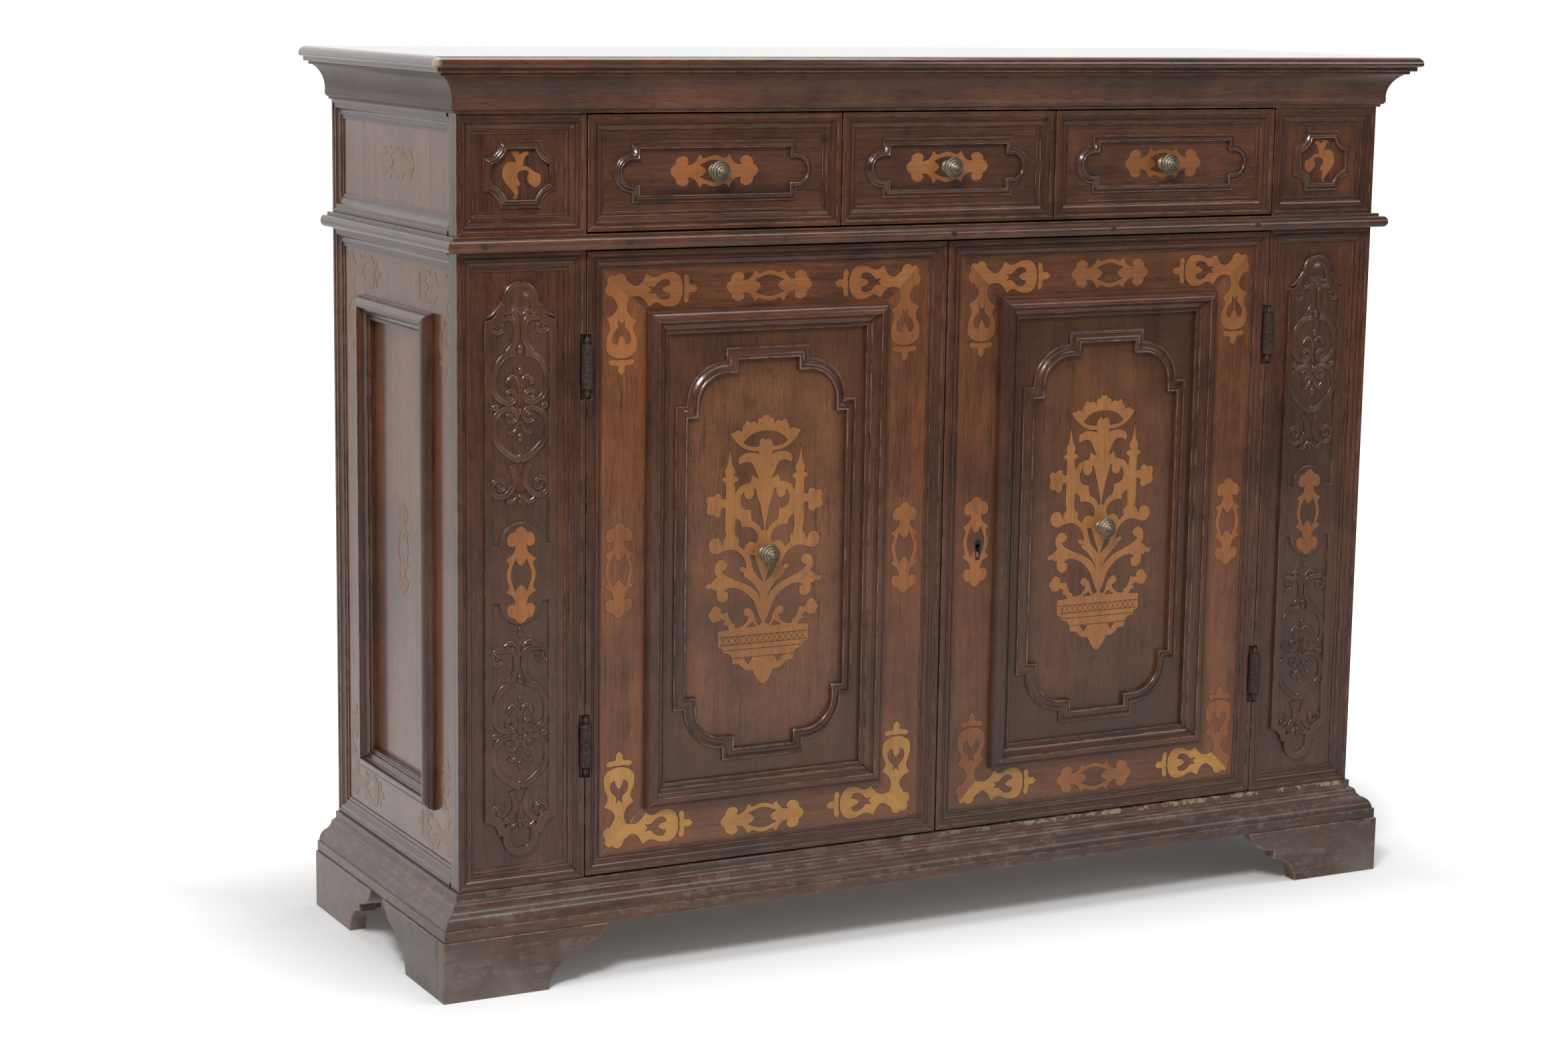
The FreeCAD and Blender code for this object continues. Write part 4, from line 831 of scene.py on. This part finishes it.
ARM_OUTER = [
    (1, 17, 1), (6, 19), (9, 17.5, 1), (13, 20.5), (19, 20.5), (23, 17), (24, 12.5, 1), (29.5, 8.5, 1),
    (36, 5.5), (43, 8.5), (50, 20, 1), (60, 15.3), (75, 20), (90, 18.8), (97, 9), (98.3, 0), (97, -9),
    (90, -18.8), (75, -20), (62, -15.3), (54, -20, 1), (46, -10), (38, -7), (27, -9, 1)]
ARM_HOLE = [
    (56.5, 0), (52.5, 4.5, 1), (61, 4.2), (66, 9), (73, 12), (80, 10.5), (82, 5.5, 1), (76, 4),
    (70.5, 0, 1)]
ARM_CROWN = [(100, 0), (100.5, 6), (99.5, 13), (102, 17), (106, 14), (106.5, 8.5), (108, 4.2, 1), (113, 4.6),
             (118.5, 0, 1)]
CORNER_ARM = [ARM_OUTER] + [half + below(half[1:-1]) for half in (ARM_HOLE, ARM_CROWN)]
ARM_AXIS = 0.018
LEVEL_ARM = Matrix.Translation((0, -ARM_AXIS, 0))
HANGING_ARM = Matrix(((0, -1, 0, ARM_AXIS), (-1, 0, 0, 0), (0, 0, 1, 0), (0, 0, 0, 1)))


def facing_left(x, y, z):
    return Matrix(((0, 0, -1, x), (-1, 0, 0, y), (0, 1, 0, z), (0, 0, 0, 1)))


def facing_right(x, y, z):
    return Matrix(((0, 0, 1, x), (1, 0, 0, y), (0, 1, 0, z), (0, 0, 0, 1)))


def corner_pieces(face, low, high, veneers):
    """Corner pieces in a frame: face() gives a place, low and high its corners, across and up.

    veneers are the woods of the upper corners' level and hanging arms, then of the lower corners'.
    """
    motifs = []
    for (along, across), (upright, up) in ((a, b) for b in ((1, high[1]), (-1, low[1]))
                                           for a in ((1, low[0]), (-1, high[0]))):
        seat = face(across, up) @ Matrix.Diagonal((along, upright, 1, 1))
        level, hanging = veneers[:2] if upright == 1 else veneers[2:]
        motifs.append((CORNER_ARM, seat @ LEVEL_ARM, LEVEL, level))
        motifs.append((CORNER_ARM, seat @ HANGING_ARM, UPRIGHT, hanging))
    return motifs


def frame_round(node, facing, rows, lap=0):
    """A frame of reeds along the edges of a node's face, or lapping over them."""
    corners = [facing(0, 0, 0).inverted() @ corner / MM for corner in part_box(node)]
    left, right = sorted(corner.x for corner in corners)
    foot, head = sorted(corner.y for corner in corners)
    return (left - lap, foot - lap), (right + lap, head + lap), rows


SIDE_LEVEL = (1, ALONG_GRAIN, 1)
BOLECTION_LAP = 10
SIDE_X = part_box("left_side_frame")[0].x
SIDE_PANEL_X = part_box("left_side_panel")[0].x
SIDE_PANEL_Y, SIDE_PANEL_Z = middle_of("left_side_panel").yz
SIDE_FRIEZE_Z = 0.978
SIDE_CORNER_LOW = (-0.176, 0.158)
SIDE_CORNER_HIGH = (0.176, 0.855)
for side, facing, sign in (("left", facing_left, 1), ("right", facing_right, -1)):
    sides = [(TREFOIL_RING, facing(sign * SIDE_X, SIDE_PANEL_Y, SIDE_FRIEZE_Z), SIDE_LEVEL, FADED),
             (TREFOIL_RING, facing(sign * SIDE_PANEL_X, SIDE_PANEL_Y, SIDE_PANEL_Z) @ QUARTER_TURN,
              UPRIGHT, FADED)]
    sides += corner_pieces(lambda across, up: facing(sign * SIDE_X, SIDE_PANEL_Y - sign * across, up),
                           SIDE_CORNER_LOW, SIDE_CORNER_HIGH, (FADED,) * 4)
    inlaid(side + "_side_inlays", "carcass", sides)
    reeds(side + "_side_mouldings", facing,
          [frame_round(side + "_side_panel", facing, BOLECTION_ROWS, BOLECTION_LAP)])

# Top and long mouldings: a thin top with a rounded nose on a coved cornice, a beaded waist moulding and a
# stepped base moulding, planed in lengths and mitred at the front corners.

TOP_SEAMS = (-0.062, 0.094)
BARED_BELOW_TOP = 0.006
top_corner = Vector((cad_low.x, cad_low.y, cad_high.z - BARED_BELOW_TOP))
top_walnut = wood("top_walnut", *DARK, roughness=0.16, wax=1, bared=top_corner)
worn("top_board", top_walnut, rounding=0.001)
worn("cornice_moulding", cornice_walnut, rounding=0.0006)
worn("waist_moulding", dark_walnut, rounding=0.0006)
worn("base_moulding", stained_walnut, rounding=0.001)

# Bracket feet: walnut planks sawn with an ogee end, mitred at the front corners and glued to a block behind,
# dusty and scuffed near the floor. The rear feet are a single plank on a block.

for side in SIDES:
    for end in ("front", "rear"):
        worn(f"{side}_{end}_foot", stained_walnut, rounding=0.0015)

# Doors: mitred walnut frames round a sunk panel, with an edge moulding, a bolection moulding that laps the
# frame, and a shaped cartouche moulding nailed on the panel.

panel_walnut = wood("panel_walnut", (0.042, 0.016, 0.008), (0.142, 0.054, 0.021), (0.2, 0.08, 0.031),
                    (0.22, 0.08, 0.026), cleaned=middle_of("left_door_panel"))
ARCHED_WIDTH = 15
ARCHED_STEP = 16
ARCHED_RADIUS = 53
ARCHED_EAR = 14.6


def arched(across, up, inset):
    """Upper right quarter of a tall panel: stepped bar at head and foot, round shoulders, square ears."""
    bar = across - ARCHED_EAR - ARCHED_RADIUS
    round_end = up - ARCHED_STEP - ARCHED_RADIUS
    return ([(bar - inset, up - inset), (bar - inset, up - ARCHED_STEP - inset)]
            + arc((bar, round_end), ARCHED_RADIUS - inset, 90, 0)
            + [(across - ARCHED_EAR - inset, round_end - inset), (across - inset, round_end - inset)])


for side in SIDES:
    worn(side + "_door_frame", warm_walnut)
    worn(side + "_door_panel", panel_walnut)
    worn(side + "_door_edge_moulding", dark_walnut)
    mouldings = worn(side + "_door_panel_mouldings", dark_walnut, rounding=0.0008)
    cartouche(mouldings, arched, ARCHED_WIDTH)

VASE_OUTER = both_halves([
    (0, 679.5), (4, 679.5), (6, 676), (10, 675.5), (12, 667.5, 1), (14, 671), (19, 672), (22, 670.5, 1),
    (25, 673), (28, 673), (29.5, 669, 1), (32.5, 666), (33.5, 660, 1), (37, 661.5), (41, 661.5),
    (44, 659.5), (49.5, 659, 1), (45, 651), (38, 644), (30, 638.5), (20, 635), (10, 634.3, 1),
    (9.5, 630, 1), (14, 632), (22, 633), (30, 632), (36, 628.5), (38, 623), (36.5, 618, 1), (32, 620.5),
    (26, 621.5), (20, 620), (16, 614), (12, 606), (9, 599.5, 1), (13, 601), (17.5, 604.8, 1), (20, 599),
    (21, 595, 1), (28, 593.8), (36, 590.5), (40, 585), (41.8, 582, 1), (42.5, 590), (43, 596), (40, 597.5),
    (38, 600), (40, 603), (45, 604.5, 1), (43, 608), (43, 613), (46, 618), (48, 626), (50, 638.5, 1),
    (51.5, 628), (53, 619), (56, 613), (56, 608), (54.5, 604.5, 1), (59, 603), (60.5, 600.5), (58, 598),
    (55, 596, 1), (55, 576, 1), (61.5, 577, 1), (62, 582), (67, 583.5), (73, 580, 1), (78, 581),
    (81.5, 577), (80, 571, 1), (81.5, 566), (81, 560), (76, 557), (73, 557.5, 1), (68, 553.5), (63, 555.5),
    (61.5, 565, 1), (55.5, 566, 1), (55, 535), (54, 530), (58, 524), (60, 517.5, 1), (62, 524), (66, 527.5),
    (72, 527.5), (77.5, 523), (78, 515), (74, 509), (68, 507), (60, 509), (50, 511.5), (41, 510),
    (34, 505.5), (28, 498), (25.5, 491, 1), (26, 485.5, 1), (29, 488), (33, 488.5), (35, 485.5),
    (32, 482.5), (28.5, 481, 1), (29, 478), (26, 474.5, 1), (22, 472), (14, 464), (8, 455), (4.5, 445, 1),
    (8, 452), (14, 459), (24, 465.5), (36, 470.5), (48, 476), (56, 480.5), (60, 485, 1), (54, 488),
    (52, 492), (54.5, 497), (59, 499.5), (65, 498), (69.5, 491), (69.5, 484), (66, 478, 1), (70, 475),
    (74, 471.5, 1), (77, 470), (81, 469.5), (81.5, 465.5), (78, 463.5), (74, 464.5, 1), (71, 461.5),
    (66.5, 461.5, 1), (67, 456), (65, 449), (59, 445.5), (53, 447), (50.5, 453), (52, 458.5),
    (56, 458.7, 1), (52, 462), (46, 463), (38, 461.5), (28, 456.5), (19, 449), (13, 441), (9.5, 432),
    (6, 423), (2, 415.5, 1), (7, 412, 1), (11, 418), (13, 426), (18, 433), (24, 435.8), (28.5, 430.5),
    (26, 425.5), (21, 424, 1), (23, 419), (28, 414), (35, 411.5), (40, 411.3, 1), (41, 416.5, 1),
    (44, 417.5), (46.5, 421), (49, 426), (50.5, 432.5, 1), (55, 431.5), (60, 431.5, 1), (60.5, 436),
    (64, 440), (69.5, 441), (75, 435, 1), (78, 430), (75.5, 426), (73.5, 421.5), (68, 420.5), (63, 422),
    (60.5, 424.5, 1), (57, 422.5), (54.5, 421.5, 1), (58, 416.5, 1), (52, 414.5), (49, 409.5, 1),
    (64.5, 408.5, 1), (64, 397, 1), (64.5, 390), (62, 387), (58, 385.5, 1), (57, 380, 1), (51, 379),
    (46.5, 376), (44, 371), (43, 364.5, 1), (33, 363.5, 1), (29, 359), (23, 355), (14.5, 354.5, 1),
    (12, 349), (7, 341), (0, 336)])
CROWN_EYE = both_halves([
    (0, 659.5), (12, 658.5), (22, 654.5), (31.5, 646, 1), (24, 641.5), (10, 639.8, 1), (9.5, 644),
    (7.5, 648.5), (4, 650), (1, 648.5), (0, 646.5, 1)])
VASE_HOLES = [
    [(13, 586, 1), (10.5, 577), (7, 566), (4, 553), (0.8, 536, 1), (2, 533), (8, 540), (13, 544),
     (17.5, 546.5, 1), (19.5, 553), (19.5, 560.5, 1), (27, 561.5), (32, 565), (34.5, 573), (33, 580),
     (29.5, 584, 1), (29, 578.5), (25.5, 574.8), (21, 574), (17, 577), (15.5, 582), (15.8, 587, 1)],
    [(9.5, 522, 1), (10, 529), (16, 536), (25, 539), (33, 539, 1), (34, 546), (41, 551.5, 1), (41, 530),
     (39, 527), (37, 526, 1), (35.5, 521), (37.5, 517.5, 1), (32, 513), (29, 510.5, 1), (27, 515),
     (22, 519.5), (16, 519.5), (12, 517, 1)],
    [(14, 502.5, 1), (20.5, 503, 1), (18.5, 495), (15, 484), (8, 474), (1, 467, 1), (5, 478), (9, 488),
     (12, 497)],
    [(10.5, 410.8, 1), (15, 417, 1), (25, 410.8, 1)],
    [(16, 371, 1), (27, 371, 1), (21, 362.5, 1)]]
FLOWER_VASE = [VASE_OUTER, CROWN_EYE] + VASE_HOLES + [
    [(-across, *rest) for across, *rest in loop] for loop in VASE_HOLES]


def sliver(start, end, half=0.3):
    """A straight engraved line as a thin closed loop."""
    along = Vector((end[0] - start[0], end[1] - start[1])).normalized() * half
    return [(start[0] - along.y, start[1] + along.x, 1), (end[0] - along.y, end[1] + along.x, 1),
            (end[0] + along.y, end[1] - along.x, 1), (start[0] + along.y, start[1] - along.x, 1)]


BASKET_BANDS = ((63, 400), (61, 389.5), (56, 382.5), (45, 372))
LATTICE = [[(-60 + 8 * step, 400 if step % 2 == start else 389.5) for step in range(16)] for start in (0, 1)]
BASKET_WORK = [sliver((-reach, up), (reach, up)) for reach, up in BASKET_BANDS]
BASKET_WORK += [sliver(*pair, half=0.2) for row in LATTICE for pair in zip(row, row[1:])]
ON_VENEER = Matrix.Translation((0, 0, 0.0001))
VASE_MIDDLE = 507.75
DOOR_X = middle_of("left_door_frame").x
VASE_SCALE = 0.98
VASE_FIT = Matrix.Scale(VASE_SCALE, 4) @ Matrix.Translation((0, -VASE_MIDDLE * MM, 0))
VASE_Z = 0.5085
PANEL_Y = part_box("left_door_panel")[0].y
RAIL_TOP_Z = 0.836
RAIL_FOOT_Z = 0.170
STILE_Z = 0.4985
HINGE_STILE = -0.1987
MEETING_STILE = {"left": 0.1963, "right": 0.1918}
KEYHOLE_SHADOW_X = 0.0582
KEYHOLE_SHADOW_Z = 0.492
# Painted shadow: a near-black keyhole-shaped band laid on the face round the real keyhole, standing in for the
# shade that makes the keyhole look larger.
KEYHOLE_SHADOW = [
    both_halves([(0, 8.5), (3.6, 7.4), (5, 4), (4.2, 0, 1), (3, -17.5, 1), (0, -17.5, 1)]),
    both_halves([(0, 3.4), (2.4, 2.4), (3.4, 0), (1.7, -2.9, 1), (1.7, -13.8, 1), (0, -13.8, 1)])]
DOOR_CORNER_LOW = (-0.2150, 0.1565)
DOOR_CORNER_HIGH = (0.2087, 0.8535)
for side, sign in HANDS:
    hand = Matrix() if sign == 1 else OTHER_HAND
    lower_wood = YELLOW if side == "left" else ORANGE

    def on_door(across, up, y=FRONT):
        return facing_front(sign * DOOR_X, y, 0) @ hand @ Matrix.Translation((across, up, 0))

    set_in = [(FLOWER_VASE, on_door(0, VASE_Z, PANEL_Y) @ VASE_FIT, UPRIGHT, GOLDEN),
              (TREFOIL_RING, on_door(0, RAIL_TOP_Z), LEVEL, ORANGE),
              (TREFOIL_RING, on_door(0, RAIL_FOOT_Z), LEVEL, lower_wood),
              (TREFOIL_RING, on_door(HINGE_STILE, STILE_Z) @ QUARTER_TURN, UPRIGHT, ORANGE),
              (TREFOIL_RING, on_door(MEETING_STILE[side], STILE_Z) @ QUARTER_TURN, UPRIGHT, ORANGE)]
    if side == "right":
        # The painted keyhole shadow, a near-black band on the face of the door.
        set_in.append((KEYHOLE_SHADOW, facing_front(KEYHOLE_SHADOW_X, FRONT, KEYHOLE_SHADOW_Z) @ ON_VENEER, UPRIGHT, DARK_LINE_AND_SHADE))
    engraved_place = on_door(0, VASE_Z, PANEL_Y) @ ON_VENEER @ VASE_FIT
    set_in += [([line], engraved_place, LEVEL, DARK_LINE_AND_SHADE) for line in BASKET_WORK]
    set_in += corner_pieces(on_door, DOOR_CORNER_LOW, DOOR_CORNER_HIGH, (ORANGE, ORANGE, YELLOW, lower_wood))
    inlaid(side + "_door_inlays", side + "_door", set_in)
    reeds(side + "_door_edge_moulding", facing_front,
          [frame_round(side + "_door_frame", facing_front, FRAME_ROWS)])
    reeds(side + "_door_panel_mouldings", facing_front,
          [frame_round(side + "_door_panel", facing_front, BOLECTION_ROWS, BOLECTION_LAP)])

# Drawers: walnut fronts with the same mitred frame moulding, a lobed cartouche glued on and an inlaid motif
# behind the knob; the boxes are nailed up of softwood and slide on guides.

LOBED_WIDTH = 9
LOBE = 24


def lobed(across, up, inset):
    """Upper right quarter of a rectangle with a half-round lobe at each end."""
    shoulder = across - LOBE
    return ([(shoulder - inset, up - inset), (shoulder - inset, LOBE - inset)]
            + arc((shoulder, 0), LOBE - inset, 90, 0))


for side in ("left", "centre", "right"):
    worn(side + "_drawer_front", dark_walnut)
    mouldings = worn(side + "_drawer_mouldings", dark_walnut, rounding=0.0006)
    cartouche(mouldings, lobed, LOBED_WIDTH)
    worn(side + "_drawer_box", softwood, rounding=0.0008)
    middle = middle_of(side + "_drawer_front")
    middle.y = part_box(side + "_drawer_front")[0].y
    inlaid(side + "_drawer_inlay", side + "_drawer",
           [(TREFOIL_RING, facing_front(*middle), LEVEL, ORANGE)])
    reeds(side + "_drawer_mouldings", facing_front,
          [frame_round(side + "_drawer_front", facing_front, FRAME_ROWS)])

# Knobs: turned brass, with a button, ring grooves and a small round foot, dulled brown and green with age.
# A shank goes through the front and is riveted inside.

SHANK = 9
KNOB_PROFILE = [
    (0, -SHANK), (3, -SHANK), (3, 0), (8.5, 0), (8.5, 1.4), (6.4, 3), (5, 5), (5, 8.5), (6.6, 10.6),
    (10.6, 12.8), (12.9, 15.2), (13.3, 16.8), (12.8, 18.3), (11.6, 19), (10.9, 18.5), (10.2, 19.8),
    (8.6, 21.4), (7.8, 20.9), (7.2, 22.1), (5.5, 23.3), (4.7, 22.9), (4.1, 24), (2.9, 24.8), (2.6, 26.2),
    (1.7, 26.9), (0, 27)]
PALE_BRASS = (0.32, 0.255, 0.175, 1)
BROWN_BRASS = (0.17, 0.135, 0.09, 1)
GREEN_BRASS = (0.16, 0.15, 0.1, 1)
KNOB_DIRT_AND_SHADE = (0.025, 0.02, 0.012, 1)
GROOVE_DIRT_AND_SHADE = 0.004
brass, brass_place = new_finish("old_brass")
tarnish = noise(brass_place, scale=160, detail=4, roughness=0.6)
brass_colour = colour_mix(ramped(tarnish, 0.35, 0.7), PALE_BRASS, BROWN_BRASS)
brass_colour = colour_mix(ramped(noise(brass_place, scale=45), 0.5, 0.7) * 0.4, brass_colour, GREEN_BRASS)
# Soiling and painted shade: the brass darkens in its ring grooves, where its own shape closes round it and
# shade falls.
groove_dirt_and_shade = 1 - ramped(openness(brass_place, GROOVE_DIRT_AND_SHADE), 0.35, 0.9)
brass_colour = colour_mix(groove_dirt_and_shade * 0.8, brass_colour, KNOB_DIRT_AND_SHADE)
apply_finish(brass, {"Metallic": 0.7}, {"Base Color": brass_colour, "Roughness": 0.36 + tarnish * 0.25})
for owner in ("left_door", "right_door", "left_drawer", "centre_drawer", "right_drawer"):
    node = owner + "_knob"
    seat = middle_of(node)
    seat.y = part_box(node)[1].y - SHANK * MM
    lathe = bmesh.new()
    knots = [lathe.verts.new((radius * MM, -reach * MM, 0)) for radius, reach in KNOB_PROFILE]
    rim = [lathe.edges.new(pair) for pair in zip(knots, knots[1:])]
    bmesh.ops.spin(lathe, geom=knots + rim, cent=(0, 0, 0), axis=(0, 1, 0), angle=math.tau, steps=40,
                   use_merge=True)
    bmesh.ops.remove_doubles(lathe, verts=lathe.verts, dist=MERGE)
    bmesh.ops.recalc_face_normals(lathe, faces=lathe.faces)
    bmesh.ops.translate(lathe, vec=seat, verts=lathe.verts)
    finished(node + "_turned", lathe, owner, [brass], [node])

# Ironwork: barrel hinges with turned finials on pins, forged by a smith and let into the edges of doors and
# posts; inside, the right door has a rim lock and the left one a rod bolt.

BLACK_IRON = (0.03, 0.021, 0.017, 1)
GREY_IRON = (0.075, 0.05, 0.04, 1)
RUST = (0.09, 0.04, 0.022, 1)
PITTING_DEPTH = 0.0005
iron, iron_place = new_finish("old_iron")
pitting = noise(iron_place, scale=260, detail=4, roughness=0.65)
iron_colour = colour_mix(ramped(pitting, 0.3, 0.7), BLACK_IRON, GREY_IRON)
iron_colour = colour_mix(ramped(noise(iron_place, scale=60), 0.52, 0.72) * 0.6, iron_colour, RUST)
iron_normal = pitting.node("Bump", {}, {"Strength": 0.5, "Distance": PITTING_DEPTH, "Height": pitting})
apply_finish(iron, {"Metallic": 0.3, "Specular IOR Level": 0.3},
             {"Base Color": iron_colour, "Roughness": 0.38 + pitting * 0.3, "Normal": iron_normal})
for side in SIDES:
    worn(side + "_post_hinges", iron, rounding=0.0003)
    worn(side + "_door_hinges", iron, rounding=0.0003)
for node in ("right_door_lock", "lock_bolt", "left_door_rod"):
    worn(node, iron, rounding=0.0006)
worn("left_door_keepers", dark_walnut, rounding=0.0008)

# Nails: six rose-headed nails hold the front length of the waist moulding, their heads driven just below the
# round and stopped with dark wax that has partly fallen out.

NAIL_SIZE = (0.0048, 0.0012, 0.0032)
NAIL_Z = 0.8945
NAIL_SPOTS = (-0.628, -0.445, -0.239, -0.002, 0.233, 0.459)
NAIL_SWING = 0.4
waist_face = surface_of("waist_moulding")
heads = bmesh.new()
for spot in NAIL_SPOTS:
    hit = waist_face.ray_cast(Vector((spot, -PROBE, NAIL_Z)), Vector((0, 1, 0)))[0]
    swing = Matrix.Rotation(chance.uniform(-NAIL_SWING, NAIL_SWING), 4, "Y")
    bmesh.ops.create_icosphere(heads, subdivisions=2, radius=1,
                               matrix=Matrix.Translation(hit) @ swing @ Matrix.Diagonal((*NAIL_SIZE, 1)))
bmesh.ops.smooth_vert(heads, verts=heads.verts, factor=0.2)
finished("waist_nails", heads, "carcass", [iron])
